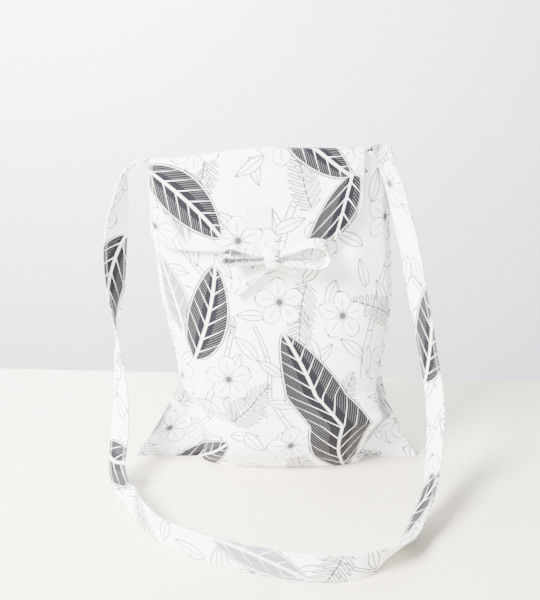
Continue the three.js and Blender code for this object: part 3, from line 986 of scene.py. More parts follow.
# Strength of the painted shade in the bottom of the fold, and how far under its line that lies
TUCK_SHADE = 2.6
TUCK_BOTTOM = 3.4
TUCK_CORNER = (50, 60)
# Shares of the way along it where it opens, and where it fades by a share of its depth
TUCK_OPENS = (0, 0.15)
TUCK_FADES = (0.6, 1)
TUCK_FADE = 0.6
# Distances under it where the cloth folds in, and where most of it comes out again
TUCK_FOLD = (-0.5, 3.5)
TUCK_RETURN = (8, 34)
TUCK_RETURN_SHARE = 0.7
# Shares of the way along it where the painted shade opens and fades
TUCK_SHADE_OPENS = (0.02, 0.2)
TUCK_SHADE_FADES = (0.75, 1)
RIDGE_SHARE = 0.28
# Hollows and swells are ovals: the middle's x and z, the reach both ways, and the depth.
HOLLOWS = [
    (34, 186, 32, 44, 3.6),
    (-62, 196, 26, 40, 1.6),
    (92, 206, 14, 40, 2.2),
]
SWELLS = [
    (-20, 120, 60, 46, 2.2),
    (44, 112, 44, 40, 1.8),
    (-30, 24, 50, 14, 2.6),
]
# Unevenness of a panel: width and height of the swells, and how far they stand out
WAVES = (46, 58, 2.2)
RIPPLES = (15, 19, 0.55)
PUCKERS = (9, 5, 1.6)
PUCKER_REACH = 9
# Seeds of their chances, which the side, -1 or 1, changes
WAVE_SEED = 7
RIPPLE_SEED = 9
RIPPLE_SEED_STEP = 3
PUCKER_SEED = 5
# The flap presses the cloth behind it flatter, fully so above the second height
FLAP_PRESS = 0.75
FLAP_PRESS_HEIGHTS = (205, 235)
print("the fold over the right ear is", TUCK_DEPTH, "mm deep")

# %% How far the cloth stands in or out at a point
def nearest_on(line, x, z):
    """Distance to a line of points, distance to the left of its run, and share along it."""
    best = None
    for k, ((ax, az), (bx, bz)) in enumerate(zip(line, line[1:])):
        run, rise = bx - ax, bz - az
        length = math.hypot(run, rise)
        held = clamp(((x - ax) * run + (z - az) * rise) / length**2)
        away = math.hypot(x - mix(ax, bx, held), z - mix(az, bz, held))
        if best is None or away < best[0]:
            aside = ((z - az) * run - (x - ax) * rise) / length
            best = away, aside, (k + held) / (len(line) - 1)
    return best


def crease_depth(x, z, creases):
    """How far the creases pull the cloth in at a point, less the ridge beside each."""
    pull = 0.0
    for line, start, end, width in creases:
        away, _, along = nearest_on(line, x, z)
        if away < 4 * width:
            roll = hill(away, width) - RIDGE_SHARE * hill(away - 2 * width, width)
            pull += mix(start, end, ease(along, 0, 1)) * roll
    return pull


def by_tuck(x, z):
    """Whether a place is in the lower right corner, where the belly's fold lies."""
    return x > TUCK_CORNER[0] and z < TUCK_CORNER[1]


def tuck_depth(x, z):
    """How far the cloth is folded in under the sagging belly at the lower right."""
    _, under, along = nearest_on(RIGHT_TUCK, x, z)
    ends = ease(along, *TUCK_OPENS) * (1 - TUCK_FADE * ease(along, *TUCK_FADES))
    kept = 1 - TUCK_RETURN_SHARE * ease(under, *TUCK_RETURN)
    return TUCK_DEPTH * ends * ease(under, *TUCK_FOLD) * kept


def tuck_shade(x, z):
    """Painted shade along the bottom of that fold."""
    _, under, along = nearest_on(RIGHT_TUCK, x, z)
    ends = ease(along, *TUCK_SHADE_OPENS) * (1 - ease(along, *TUCK_SHADE_FADES))
    return TUCK_SHADE * ends * hill(under - TUCK_BOTTOM, TUCK_BOTTOM / 2)


def oval(x, z, spot):
    """The depth of a hollow or a swell at a point."""
    middle_x, middle_z, width, height, depth = spot
    return depth * hill(x - middle_x, width) * hill(z - middle_z, height)


def cloth_relief(side, x, z, from_seam):
    """How far the cloth stands out of the plain section, in millimetres."""
    creases = FRONT_CREASES if side < 0 else BACK_CREASES
    relief = -crease_depth(x, z, creases)
    if side < 0:
        relief -= sum(oval(x, z, spot) for spot in HOLLOWS)
        relief += sum(oval(x, z, spot) for spot in SWELLS)
    waves = uneven(x, z, WAVES, WAVE_SEED * side)
    waves += uneven(x, z, RIPPLES, RIPPLE_SEED_STEP * side + RIPPLE_SEED)
    relief += waves * (1 - FLAP_PRESS * ease(z, *FLAP_PRESS_HEIGHTS))
    puckers = uneven(x, z, PUCKERS, PUCKER_SEED * side)
    return relief + puckers * math.exp(-from_seam / PUCKER_REACH)


print("under the bow the front stands", round(cloth_relief(-1, 34, 186, 80), 1), "mm out")

# %% [markdown]
# At the lower right the stuffing has sagged over the flat ear, so the cloth doubles under
# itself there. For that the section leans out over the ear, most where it turns to the side.
# A row of the grid runs from one side seam to the other, and a column from the bottom seam
# under the belly, up the front and over the hem. The shares say where each part ends.
# %% One point of the body
BULGE_SHARE = 0.76
EAR_SHARE = 0.94
UNDER_SHARE = 0.07
HEM_SHARE = 0.955
HEM_DROP = 6
HEM_ROLL = 1.0
HEM_CROWN = 0.9
HEM_STITCH = 4
# Loose cloth takes the creases. Near the seams, the bottom and the rim it is held.
SEAM_HOLD = 16
BASE_HOLD = 14
RIM_HOLD = 24
RIM_HOLD_SHARE = 0.7
# Rows lie closer together towards the bottom
ROW_SPACING = 1.15
# How far the belly leans out over each ear, and up to which height
RIGHT_SAG = (15, 66)
LEFT_SAG = (5, 80)
SAG_ROUNDNESS = 0.8
# Powers of the turn's sine and cosine and a factor, which put most of the lean at the side
SAG_TURN = (7, 0.7, 2.2)
# Nearer to the middle plane than this, the hem is drawn in by less than its roll
HEM_LEAST = 4
# Shares of the way to the seam between which the hem's roll starts to narrow the mouth
HEM_CORNER = (0.7, 1)


def body_section_point(s, height):
    """x, outward distance and distance from the seam, for a share s from -1 to 1."""
    half, middle, depth, left, right = section(height)
    sign = -1 if s < 0 else 1
    reach = abs(s)
    left_edge = middle - half + SEAM_RIDGE + math.hypot(left, SEAM_FLANGE)
    right_edge = middle + half - SEAM_RIDGE - math.hypot(right, SEAM_FLANGE)
    centre, bulge = (left_edge + right_edge) / 2, (right_edge - left_edge) / 2
    edge = right_edge if sign > 0 else left_edge
    seam_x = middle + sign * half
    if reach <= BULGE_SHARE:
        turn = reach / BULGE_SHARE * math.pi / 2
        norm = (math.sin(turn) ** BOXINESS + math.cos(turn) ** BOXINESS) ** (1 / BOXINESS)
        x = centre + sign * bulge * math.sin(turn) / norm
        out = math.hypot(depth * math.cos(turn) / norm, SEAM_RIDGE)
        sag, top = RIGHT_SAG if sign > 0 else LEFT_SAG
        rise = max(0.0, math.sin(math.pi * min(1.0, height / top))) ** SAG_ROUNDNESS
        lean = math.sin(turn) ** SAG_TURN[0] * math.cos(turn) ** SAG_TURN[1] * SAG_TURN[2]
        x += sign * sag * rise * lean
        return x, out, abs(seam_x - x)
    if reach <= EAR_SHARE:
        share = (reach - BULGE_SHARE) / (EAR_SHARE - BULGE_SHARE)
        x = mix(edge, seam_x - sign * SEAM_RIDGE, share)
        return x, SEAM_RIDGE, abs(seam_x - x)
    turn = (reach - EAR_SHARE) / (1 - EAR_SHARE) * math.pi / 2
    return seam_x - sign * SEAM_RIDGE * (1 - math.sin(turn)), SEAM_RIDGE * math.cos(turn), 0.0


def over_hem(share, s, x, out, z):
    """A point at a share of the hem, which rolls over the rim and hangs down inside."""
    roll = math.pi * min(1.0, share * 2)
    inward = HEM_ROLL * (1 - math.cos(roll))
    crown = HEM_CROWN * math.sin(roll)
    drop = HEM_DROP * max(0.0, share * 2 - 1)
    x -= math.copysign(inward, x) * ease(abs(s), *HEM_CORNER)
    return x, out * (1 - inward / max(out, HEM_LEAST)), z - HEM_CROWN + crown - drop


def body_point(side, u, v):
    """A point of the front (side -1) or back (side 1), from its left seam and the bottom seam."""
    s = (2 * u - 1) * (1 if side < 0 else -1)
    height = BAG_HEIGHT * clamp((v - UNDER_SHARE) / (HEM_SHARE - UNDER_SHARE)) ** ROW_SPACING
    x, out, from_seam = body_section_point(s, height)
    z = height - mouth_dip(x) * (height / BAG_HEIGHT) ** 2
    loose = ease(from_seam, 0.5, SEAM_HOLD) * ease(height, 0, BASE_HOLD)
    loose *= 1 - RIM_HOLD_SHARE * ease(height, BAG_HEIGHT - RIM_HOLD, BAG_HEIGHT)
    out += cloth_relief(side, x, z, from_seam) * loose
    if side < 0 and by_tuck(x, z):
        out = max(out - tuck_depth(x, z) * loose, min(out, SEAM_RIDGE))
    out = max(out, 0.0)
    if v < UNDER_SHARE:
        across = min(1.0, abs(s) / BULGE_SHARE)
        seam_y = SEAM_SETBACK * (1 - across**2)
        return Vector((x, mix(seam_y, side * out, v / UNDER_SHARE), z)) * MM
    if v > HEM_SHARE:
        x, out, z = over_hem((v - HEM_SHARE) / (1 - HEM_SHARE), s, x, out, z)
    return Vector((x, side * out, z)) * MM


print("the rim of the front is at", round(body_point(-1, 0.5, HEM_SHARE).z / MM), "mm")

# %% Body of canvas, with its hem turned into the mouth
CANVAS_THICKNESS = 0.8 * MM
COLUMNS = 132
ROWS = 150
# Width of the painted shade in the hem's stitched line
HEM_LINE = 0.9


def mouth_stitch_shade(u, v):
    """Painted shade in the pressed line of the topstitching, a little under the rim."""
    height = (v - HEM_SHARE) * BAG_HEIGHT / (HEM_SHARE - UNDER_SHARE) + HEM_STITCH
    return hill(height, HEM_LINE) if v < HEM_SHARE else 0.0


def front_painted_shade(u, v):
    """Painted shade in the topstitching's pressed line, and in the fold at the lower right."""
    at = body_point(-1, u, v) / MM
    folded = tuck_shade(at.x, at.z) if by_tuck(at.x, at.z) else 0.0
    return mouth_stitch_shade(u, v) + folded


def body_mesh():
    """Front and back, sewn together along the sides and the bottom."""
    mesh = bmesh.new()
    lay_cloth(mesh, COLUMNS, ROWS, lambda u, v: body_point(-1, u, v), painted_shade_at=front_painted_shade)
    front_faces = set(mesh.faces)
    lay_cloth(mesh, COLUMNS, ROWS, lambda u, v: body_point(1, u, v), painted_shade_at=mouth_stitch_shade)
    for face in mesh.faces:
        face.material_index = 0 if face in front_faces else 1
    close_seams(mesh)
    return mesh


body = finish_piece("bag_body", body_mesh(), front_canvas, back_canvas, slot_name="printed_canvas")
give_wall(body, "wall", CANVAS_THICKNESS)
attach(body, "bag")
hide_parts("front_panel", "back_panel")
print("the body has", len(body.data.polygons), "faces")

# %% [markdown]
# ## The lining
# The lining is sewn to the hem and hangs in the bag close behind the canvas. It is laid
# by the same rule on a coarser grid, drawn in along its own normals, and given a wall.
# %% Lining
LINING_INSET = 1.4 * MM
LINING_THICKNESS = 0.4 * MM
LINING_TOP = HEM_SHARE - 0.02


def lining_mesh():
    """The body's own shape up to the hem, drawn in from the canvas."""
    mesh = bmesh.new()
    for side in (-1, 1):
        lay_cloth(mesh, COLUMNS // 2, ROWS // 2, lambda u, v: body_point(side, u, v * LINING_TOP))
    close_seams(mesh)
    mesh.normal_update()
    for vert in mesh.verts:
        vert.co -= vert.normal * LINING_INSET
    return mesh


lining = finish_piece("bag_lining", lining_mesh(), lining_cotton, slot_name="lining_cotton")
give_wall(lining, "wall", LINING_THICKNESS)
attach(lining, "bag")
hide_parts("front_lining", "back_lining")
print("the lining has", len(lining.data.polygons), "faces")

# %% [markdown]
# ## The flap
# The flap is two layers sewn face to face, turned and topstitched. It is sewn on the back
# rim, crosses the mouth, turns down over a tight fold and hangs on the stuffed front. Its
# edge is a straight side with a large round corner on the right and a small one on the left.
# %% Shape of the flap, in millimetres
FLAP_WIDTH = 191
FLAP_SHIFT = -19.5
FLAP_LOW = BAG_HEIGHT - 86
FLAP_BOXINESS = 3.2
FLAP_LIFT = 1.4
FLAP_FOLD = 3.4
# Each round corner's width and height
FLAP_RIGHT_CORNER = (66, 52)
FLAP_LEFT_CORNER = (40, 14)
FLAP_THICKNESS = 1.9
# Shares of the way from the sewn edge, where the flap has crossed the mouth and turned down
FLAP_TOP_SHARE = 0.24
FLAP_FOLD_SHARE = 0.30
FLAP_REACH = 6
FLAP_CURL = 2.6
FLAP_CROWN = 0.8
FLAP_CROWN_WIDTH = 24
FLAP_SINK = -0.3
FLAP_ROOT_RISE = 0.3
# The share of its hanging length over which the ripples grow
FLAP_RIPPLE_SHARE = 0.3
FLAP_WAVES = (34, 60, 1)
FLAP_RIPPLES = (14, 16, 0.5)
flap_left = FLAP_SHIFT - FLAP_WIDTH / 2
flap_right = FLAP_SHIFT + FLAP_WIDTH / 2


def flap_out(x, height):
    """How far the flap hangs in front of the bag's middle plane."""
    half, middle, depth, _, _ = section(height)
    share = min(1.0, abs(x - middle) / (half + FLAP_REACH))
    return (depth + FLAP_LIFT) * (1 - share**FLAP_BOXINESS) ** (1 / FLAP_BOXINESS)


def flap_edge(x):
    """Height of the flap's lower edge."""
    low = FLAP_LOW
    for reach, (width, rise) in (
        (flap_right - x, FLAP_RIGHT_CORNER),
        (x - flap_left, FLAP_LEFT_CORNER),
    ):
        share = clamp(1 - reach / width)
        low += rise * (1 - math.sqrt(1 - share * share))
    return low


def flap_x(u):
    """Columns lie closer together towards the two sides, where the corners are."""
    return FLAP_SHIFT + FLAP_WIDTH / 2 * math.sin((u - 0.5) * math.pi)


def flap_turn(x):
    """Height at which the flap has turned down and starts to hang."""
    return BAG_HEIGHT - mouth_dip(x) + FLAP_LIFT - FLAP_FOLD


def flap_point(u, v, off=0.0):
    """A point of the flap's middle layer, from its left side and its sewn edge."""
    x = flap_x(u)
    rim = BAG_HEIGHT - mouth_dip(x)
    top = rim + FLAP_LIFT
    front = flap_out(x, top)
    off += FLAP_THICKNESS / 2
    if v < FLAP_TOP_SHARE:
        share = v / FLAP_TOP_SHARE
        y = mix(front - FLAP_LIFT, FLAP_FOLD - front, share)
        chance = noise.noise(Vector((x / FLAP_CROWN_WIDTH, 2, 2)))
        crown = FLAP_CROWN * math.sin(math.pi * share) * chance
        return Vector((x, y, mix(rim + FLAP_ROOT_RISE, top, share) + off + crown)) * MM
    if v < FLAP_FOLD_SHARE:
        turn = (v - FLAP_TOP_SHARE) / (FLAP_FOLD_SHARE - FLAP_TOP_SHARE) * math.pi / 2
        reach = FLAP_FOLD + off
        y = FLAP_FOLD - front - reach * math.sin(turn)
        return Vector((x, y, top - FLAP_FOLD + reach * math.cos(turn))) * MM
    share = (v - FLAP_FOLD_SHARE) / (1 - FLAP_FOLD_SHARE)
    z = mix(flap_turn(x), flap_edge(x), share)
    lift = FLAP_CURL * share**2 * (0.5 + uneven(x, z, FLAP_WAVES, 4))
    lift += uneven(x, z, FLAP_RIPPLES, 1) * ease(share, 0, FLAP_RIPPLE_SHARE)
    return Vector((x, -flap_out(x, z) - off - max(lift, FLAP_SINK), z)) * MM


print("the flap hangs", BAG_HEIGHT - FLAP_LOW, "mm down the front")

# %% Seams of the flap, by the distance from its free edge
STITCH_INSET = 2.8
# Widths of the painted shade in the stitched line and along the free edge, and the edge shade's strength
STITCH_LINE = 0.7
FLAP_EDGE_LINE = 0.9
FLAP_EDGE_SHADE = 2
EDGE_POINTS = 240
SIDE_POINTS = 80
SIDE_TOP = BAG_HEIGHT + 30


def flap_outline():
    """Points along the flap's free edge and up its two sides, on the flat cloth."""
    points = []
    for k in range(EDGE_POINTS + 1):
        x = flap_x(k / EDGE_POINTS)
        points.append((x, flap_edge(x)))
    for x in (flap_left, flap_right):
        for k in range(SIDE_POINTS):
            points.append((x, mix(flap_edge(x), SIDE_TOP, k / SIDE_POINTS)))
    return points


edge_points = flap_outline()
edge_tree = kdtree.KDTree(len(edge_points))
for number, (x, z) in enumerate(edge_points):
    edge_tree.insert((x, 0, z), number)
edge_tree.balance()


def flap_from_edge(u, v):
    """Distance from the free edge, in millimetres."""
    x = flap_x(u)
    if v < FLAP_FOLD_SHARE:
        return min(x - flap_left, flap_right - x)
    share = (v - FLAP_FOLD_SHARE) / (1 - FLAP_FOLD_SHARE)
    return edge_tree.find((x, 0, mix(flap_turn(x), flap_edge(x), share)))[2]


def flap_painted_shade(u, v):
    """Painted shade in the pressed stitched line, and along the rolled edge where the two cloths of the flap
    meet.
    """
    distance = flap_from_edge(u, v)
    edge = FLAP_EDGE_SHADE * hill(distance, FLAP_EDGE_LINE)
    return hill(distance - STITCH_INSET, STITCH_LINE) + edge


print("the stitched line lies", STITCH_INSET, "mm inside the edge")

# %% Flap
FLAP_COLUMNS = 150
FLAP_ROWS = 120


def flap_mesh():
    """The flap's middle layer, with its faces to the front."""
    mesh = bmesh.new()
    lay_cloth(mesh, FLAP_COLUMNS, FLAP_ROWS, flap_point, painted_shade_at=flap_painted_shade)
    bmesh.ops.recalc_face_normals(mesh, faces=mesh.faces)
    mesh.normal_update()
    lowest = min(mesh.faces, key=lambda face: face.calc_center_median().z)
    if lowest.normal.y > 0:
        bmesh.ops.reverse_faces(mesh, faces=mesh.faces)
    return mesh


flap = finish_piece("flap", flap_mesh(), flap_canvas, lining_cotton, slot_name="printed_canvas")
layers = give_wall(flap, "layers", FLAP_THICKNESS * MM, 0)
layers.material_offset = 1
layers.material_offset_rim = 0
edge_round = flap.modifiers.new("turned edge", "BEVEL")
edge_round.width = 0.7 * MM
edge_round.segments = 2
edge_round.limit_method = "ANGLE"
edge_round.angle_limit = math.radians(50)
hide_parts("flap_outer", "flap_lining")
print("the flap has", len(flap.data.polygons), "faces")

# %% [markdown]
# ## Ribbons
# The strap and the ties are strips folded and sewn flat. Each is a closed band that is
# swept along its route: a smooth curve through given points, each with the way
# the strip's width points there. The same curve carries the strip in the imported model.
# %% A smooth route through points
def smooth(points, share):
    """The centripetal curve through the points, at a share of its spans."""
    spans = len(points) - 1
    place = min(spans * share, spans - 1e-9)
    k = int(place)
    weight = place - k
    before = points[k - 1] if k else points[0] * 2 - points[1]
    after = points[k + 2] if k + 2 <= spans else points[-1] * 2 - points[-2]
    here, there = points[k], points[k + 1]
    gap = (there - here).length**0.5 or 1.0
    gap_before = (here - before).length**0.5 or gap
    gap_after = (after - there).length**0.5 or gap
    out = (here - before) / gap_before - (there - before) / (gap_before + gap) + (there - here) / gap
    into = (there - here) / gap - (after - here) / (gap + gap_after) + (after - there) / gap_after
    out, into = out * gap, into * gap
    square, cube = weight * weight, weight**3
    return (
        here
        + out * weight
        + (there * 3 - here * 3 - out * 2 - into) * square
        + (here * 2 - there * 2 + out + into) * cube
    )


def row(x, y, z, *width):
    """A place of a route, and the way that the strip's width points there."""
    return Vector((x, y, z)), Vector(width)


# The way along is taken between two shares of the route this close to a place
NEARBY = 1e-4


def ribbon_frames(rows, steps, width, thickness):
    """Place, width and normal along the route, lifted where the strip would sink in the table."""
    places = [place for place, _ in rows]
    widths = [way for _, way in rows]
    frames = []
    for k in range(steps + 1):
        share = k / steps
        low, high = max(0.0, share - NEARBY), min(1.0, share + NEARBY)
        along = (smooth(places, high) - smooth(places, low)).normalized()
        way = smooth(widths, share)
        way = (way - along * way.dot(along)).normalized()
        normal = along.cross(way)
        at = smooth(places, share)
        need = abs(way.z) * width / 2 + abs(normal.z) * thickness / 2
        frames.append((at + Vector((0, 0, max(0.0, need - at.z))), way, normal))
    return frames


print("ribbons are swept along a smooth curve")

# %% A strip of cloth, in millimetres
STRIP_GAP = 0.02 * MM
STITCH_PRESS = 0.3
# Widths of the painted shade in the pressed stitched lines and along the edges, and its strength at the
# edges
PRESSED_LINE = 0.6
EDGE_LINE = 0.45
EDGE_SHADE = 0.9
PLEAT_DEPTH = 1.6
PLEAT_WIDTH = 4.6
# Strength of the painted shade in the bottoms of the pleats
PLEAT_SHADE = 3.5
CRUMPLE_WIDTH = 9
CRUMPLE_LENGTH = 16
CRUMPLE_SEED = 5
# How far along the print the strip's second face lies from its first
BACK_SHIFT = 30


def strip_profile(width, thickness, columns, stitch):
    """Points round the section of a flat sewn strip, with the stitched lines pressed in, and the painted
    shade in those lines and along the edges.
    """
    half, round_edge = width / 2, thickness / 2
    points = []
    for face in (1, -1):
        for k in range(columns):
            x = face * half * math.cos(math.pi * k / columns)
            from_edge = half - abs(x)
            y = round_edge
            if from_edge < round_edge:
                y *= math.sqrt(max(0.0, 1 - ((round_edge - from_edge) / round_edge) ** 2))
            # Painted shade in the pressed stitched line and along the edge
            line = hill(from_edge - stitch, PRESSED_LINE)
            painted_edge_shade = EDGE_SHADE * hill(from_edge, EDGE_LINE)
            points.append((x, face * y * (1 - STITCH_PRESS * line), line + painted_edge_shade))
    return points


def ungathered(share):
    """A strip that keeps its whole width."""
    return 1


def frame_lengths(frames):
    """How far along the strip each of its frames lies."""
    lengths = [0.0]
    for (here, _, _), (there, _, _) in zip(frames, frames[1:]):
        lengths.append(lengths[-1] + (there - here).length)
    return lengths


def ribbon_mesh(frames, width, thickness, columns, stitch, crumple, gather=ungathered, start=0.0):
    """A closed strip along the frames, with its map measured along and across it.

    gather is the share of its width that the strip keeps at a share of its length, and
    start is where on the cloth it was cut, in millimetres along it.
    """
    profile = strip_profile(width, thickness, columns, stitch)
    count, rows = len(profile), len(frames) - 1
    mesh = bmesh.new()
    layer, seam = cloth_layers(mesh)
    place = flat_grid(mesh, count, rows)
    lengths = frame_lengths(frames)
    for (i, j), vert in place.items():
        x = profile[i % count][0]
        for loop in vert.link_loops:
            back = BACK_SHIFT if loop.face.calc_center_median().x > 0 else 0
            loop[layer].uv = ((x + back) * MM, (lengths[j] + start) * MM)
    for (i, j), vert in place.items():
        x, y, line = profile[i % count]
        at, way, normal = frames[j]
        crumples = (CRUMPLE_WIDTH, CRUMPLE_LENGTH, crumple)
        crumpled = uneven(x, lengths[j], crumples, CRUMPLE_SEED)
        kept = gather(j / rows)
        wave = math.cos(x * math.tau / PLEAT_WIDTH)
        pleat = (1 - kept) * PLEAT_DEPTH * wave
        # Painted shade in the stitched lines, along the edges and in the bottoms of the pleats
        vert[seam] = line + (1 - kept) * PLEAT_SHADE * (1 - wave) / 2
        vert.co = (at + way * x * kept + normal * (y + crumpled + pleat)) * MM
    for face in mesh.faces:
        face.smooth = True
    bmesh.ops.remove_doubles(mesh, verts=mesh.verts, dist=STRIP_GAP)
    bmesh.ops.holes_fill(mesh, edges=[edge for edge in mesh.edges if edge.is_boundary], sides=0)
    bmesh.ops.recalc_face_normals(mesh, faces=mesh.faces)
    return mesh, lengths[-1]


print("a gathered strip has a pleat every", PLEAT_WIDTH, "mm")

# %% [markdown]
# ## The shoulder strap
# The strap leaves the top left corner, hangs, twists once and sweeps round on the table,
# standing on its edge, then climbs to the top right corner, where it lies folded across
# the corner of the mouth. Its two ends stay with the bag and the rest turns about them.
# %% Route of the strap, in millimetres
STRAP_WIDTH = 24.5
STRAP_THICKNESS = 2.2
STRAP_STITCH = 2.8
STRAP_CRUMPLE = 0.3
STRAP_ARCH = 3.8
STRAP_REACH = 200
RIM_OVERLAP = 10
FOLD_INSET = 11
FOLD_PLAY = 0.2
FOLD_GATHER = 0.66
FOLD_TILT = 0.03
LEFT_TUCKED_IN = 6.7
LEFT_CLEAR = 1.5
GATHER_START = 0.72
GATHER_END = 0.88
seam_left = section(BAG_HEIGHT)[1] - MOUTH_WIDTH / 2
seam_right = section(BAG_HEIGHT)[1] + MOUTH_WIDTH / 2
left_hinge = Vector((seam_left - 7, 0, BAG_HEIGHT - MOUTH_DIP))
right_hinge = Vector((seam_right - FOLD_INSET, 0, BAG_HEIGHT + STRAP_ARCH))
swing = (right_hinge - left_hinge).normalized()
# Out from the hinge, forward of it, height as a share of the hinge's, then the width's way
LEFT_LEG = [
    (7, 0, 0.988, 0, -1, 0),
    (12.5, 0.3, 0.968, 0, -1, 0),
    (16, 1.8, 0.935, -0.15, -1, 0),
    (18, 4.5, 0.885, -0.4, -0.9, 0),
    (22, 8, 0.81, -0.7, -0.7, 0),
    (25, 10, 0.73, -0.8, -0.65, 0),
    (26, 12, 0.63, -0.6, -0.8, 0),
    (26, 16, 0.5, 0, -1, 0),
    (25, 22, 0.37, 0.5, -0.85, 0),
    (24, 28, 0.27, 0.7, -0.7, 0),
    (25, 37, 0.155, 0.8, -0.6, 0.1),
    (25.5, 50, 0.085, 0.75, -0.45, 0.45),
    (21, 70, 0.055, 0.6, -0.2, 0.8),
]
# Across, then forward as a share of the strap's reach, then the width's way
RUN = [
    (-134, 0.48, 0.35, 0, 1),
    (-118, 0.62, 0.1, 0, 1),
    (-98, 0.745, 0, 0, 1),
    (-70, 0.84, 0, 0, 1),
    (-38, 0.91, 0, 0, 1),
    (-7, 0.96, 0, 0, 1),
    (28, 0.995, 0, -0.05, 1),
    (55, 0.99, 0, -0.1, 1),
    (74, 0.95, 0.12, -0.17, 0.97),
    (88, 0.89, 0.42, -0.4, 0.8),
    (100, 0.815, 0.56, -0.42, 0.7),
]
RIGHT_LEG = [
    (28, 133, 0.052, 0.48, -0.52, 0.7),
    (41, 108, 0.095, 0.34, -0.72, 0.6),
    (50, 80, 0.16, 0.38, -0.78, 0.45),
    (52, 62, 0.28, 0.48, -0.85, 0.15),
    (44, 46, 0.45, 0.52, -0.8, 0.1),
    (36, 36, 0.58, 0.55, -0.78, 0.1),
    (26, 29, 0.735, 0.6, -0.74, 0.1),
    (19.5, 26.5, 0.81, 0.63, -0.72, 0.15),
    (11, 26, 0.9, 0.65, -0.69, 0.22),
    (5.7, 26, 0.942, 0.67, -0.67, 0.26),
    (2.5, 25.6, 0.97, 0.72, -0.6, 0.26),
    (0.7, 22.6, 0.9925, 0.8, -0.45, 0.22),
    (0, 15, 1.0035, 0.9, -0.25, 0.14),
    (0, 7, 1.0, 0.97, -0.05, 0.08),
]


def leg_rows(hinge, side, rows):
    """Rows of a leg, from its numbers out of and forward of its hinge."""
    return [
        row(hinge.x + side * out, hinge.y - forward, hinge.z * share, *way)
        for out, forward, share, *way in rows
    ]


fold_below = Vector((0, 1, 0)).cross(swing) * (FOLD_PLAY + STRAP_THICKNESS / 2)


def fold_row(back):
    """A row of the fold over the corner, this far behind the swing line."""
    return right_hinge + fold_below + Vector((0, back, 0)), swing + Vector((0, 0, back * FOLD_TILT))


def strap_rows():
    """The whole route, from the left sewn end to the right one."""
    return [
        (left_hinge + swing * LEFT_TUCKED_IN, Vector((0, -1, 0))),
        (left_hinge - swing * LEFT_CLEAR, Vector((0, -1, 0))),
        *leg_rows(left_hinge, -1, LEFT_LEG),
        *[row(x, -share * STRAP_REACH, 0, *way) for x, share, *way in RUN],
        *leg_rows(right_hinge, 1, RIGHT_LEG),
        fold_row(-2),
        fold_row(2),
        fold_row(RIM_OVERLAP),
    ]


def strap_gather(share):
    """The strap is drawn in on its way up to the corner, where it folds over."""
    return mix(1, FOLD_GATHER, ease(share, GATHER_START, GATHER_END))


STRAP_STEPS = 420
STRAP_COLUMNS = 22
strap_frames = ribbon_frames(strap_rows(), STRAP_STEPS, STRAP_WIDTH, STRAP_THICKNESS)
strap_mesh, strap_length = ribbon_mesh(
    strap_frames, STRAP_WIDTH, STRAP_THICKNESS, STRAP_COLUMNS, STRAP_STITCH, STRAP_CRUMPLE, strap_gather
)
strap = finish_piece("shoulder_strap_cloth", strap_mesh, strap_canvas, slot_name="strap_canvas")
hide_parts("shoulder_strap", "strap_end_left", "strap_end_right")
print("the strap is", round(strap_length), "mm long")

# %% [markdown]
# ## The bow
# Two ties, one sewn on the flap and one on the front under it, are tied in a bow: a flat
# left loop seen from its edge, an open right loop, a long cut tail and a short one. The
# knot is a tie wrapped once round the rest, so it is a squeezed, creased lump of cloth.
# %% Bow, in millimetres
TIE_WIDTH = 14
TIE_THICKNESS = 1.6
TIE_STITCH = 1.8
TIE_COLUMNS = 16
TIE_CRUMPLE = 0.45
TIE_GAP = 0.3
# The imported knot, which the loops meet, and the loose cloth round it
KNOT = (14, 13, 21)
KNOT_LOOK = (16.5, 14, 22)
KNOT_GATHER = 0.55
LOOP_FULLNESS = 0.7
# How fast a tail opens: it has its end's width after 1 / 1.5 of its length
TAIL_OPENS = 1.5
KNOT_LEAN = -1.6
flap_face = FLAP_THICKNESS + 0.1
knot_x = FLAP_SHIFT + 14
knot_z = FLAP_LOW - 4
knot_y = -flap_out(knot_x, FLAP_LOW) - flap_face - TIE_GAP - TIE_THICKNESS - TIE_GAP - KNOT[1] / 2


def loop_rows(side, reach, rise, tilt):
    """Rows of a loop, out along its upper run and back along its lower one."""
    half = TIE_WIDTH * KNOT_GATHER * tilt / 2 / math.hypot(1, tilt) + TIE_THICKNESS
    knot_half = KNOT[0] / 2 * math.sqrt(1 - (2 * half / KNOT[2]) ** 2)
    start = knot_x + side * (knot_half - 1.5)
    # Share of its reach, height from the knot's middle, and how far back of it
    run = [
        (0, half, 0),
        (0.3, half * 1.2 + rise * 0.45, -0.5),
        (0.7, half * 1.4 + rise, -1.5),
        (0.92, half * 1.4 + rise * 0.75, -2),
        (1, rise * 0.25, -2),
        (0.9, -half * 1.2, -2),
        (0.6, -half * 1.4, -1),
        (0.3, -half * 1.2, -0.5),
        (0, -half, 0),
    ]
    return [
        row(start + side * share * reach, knot_y + y, knot_z + z, 0, 1, tilt) for share, z, y in run
    ]


def loop_gather(share):
    """A loop has its full width in its middle only."""
    return mix(KNOT_GATHER, 1, math.sin(math.pi * share) ** LOOP_FULLNESS)


def tail_rows(side, length, slope, drop):
    """Rows of a tail that hangs out of the knot, this far down it and at this slope."""
    way = Vector((side * math.cos(slope), 0, -math.sin(slope)))
    start = Vector((knot_x + side * KNOT[0] * 0.25, knot_y + 3, knot_z - drop))
    rows = []
    for share, forward in ((0, 0), (0.35, 0.8), (0.7, 1), (1, 0.6)):
        at = start + way * share * length
        rows.append(row(at.x, at.y + forward, at.z, way.z, 0.35, -way.x))
    return rows


def tail_gather(end_share):
    """A tail opens from the knot to a share of its width at its end."""
    return lambda share: mix(KNOT_GATHER, end_share, min(1, share * TAIL_OPENS))


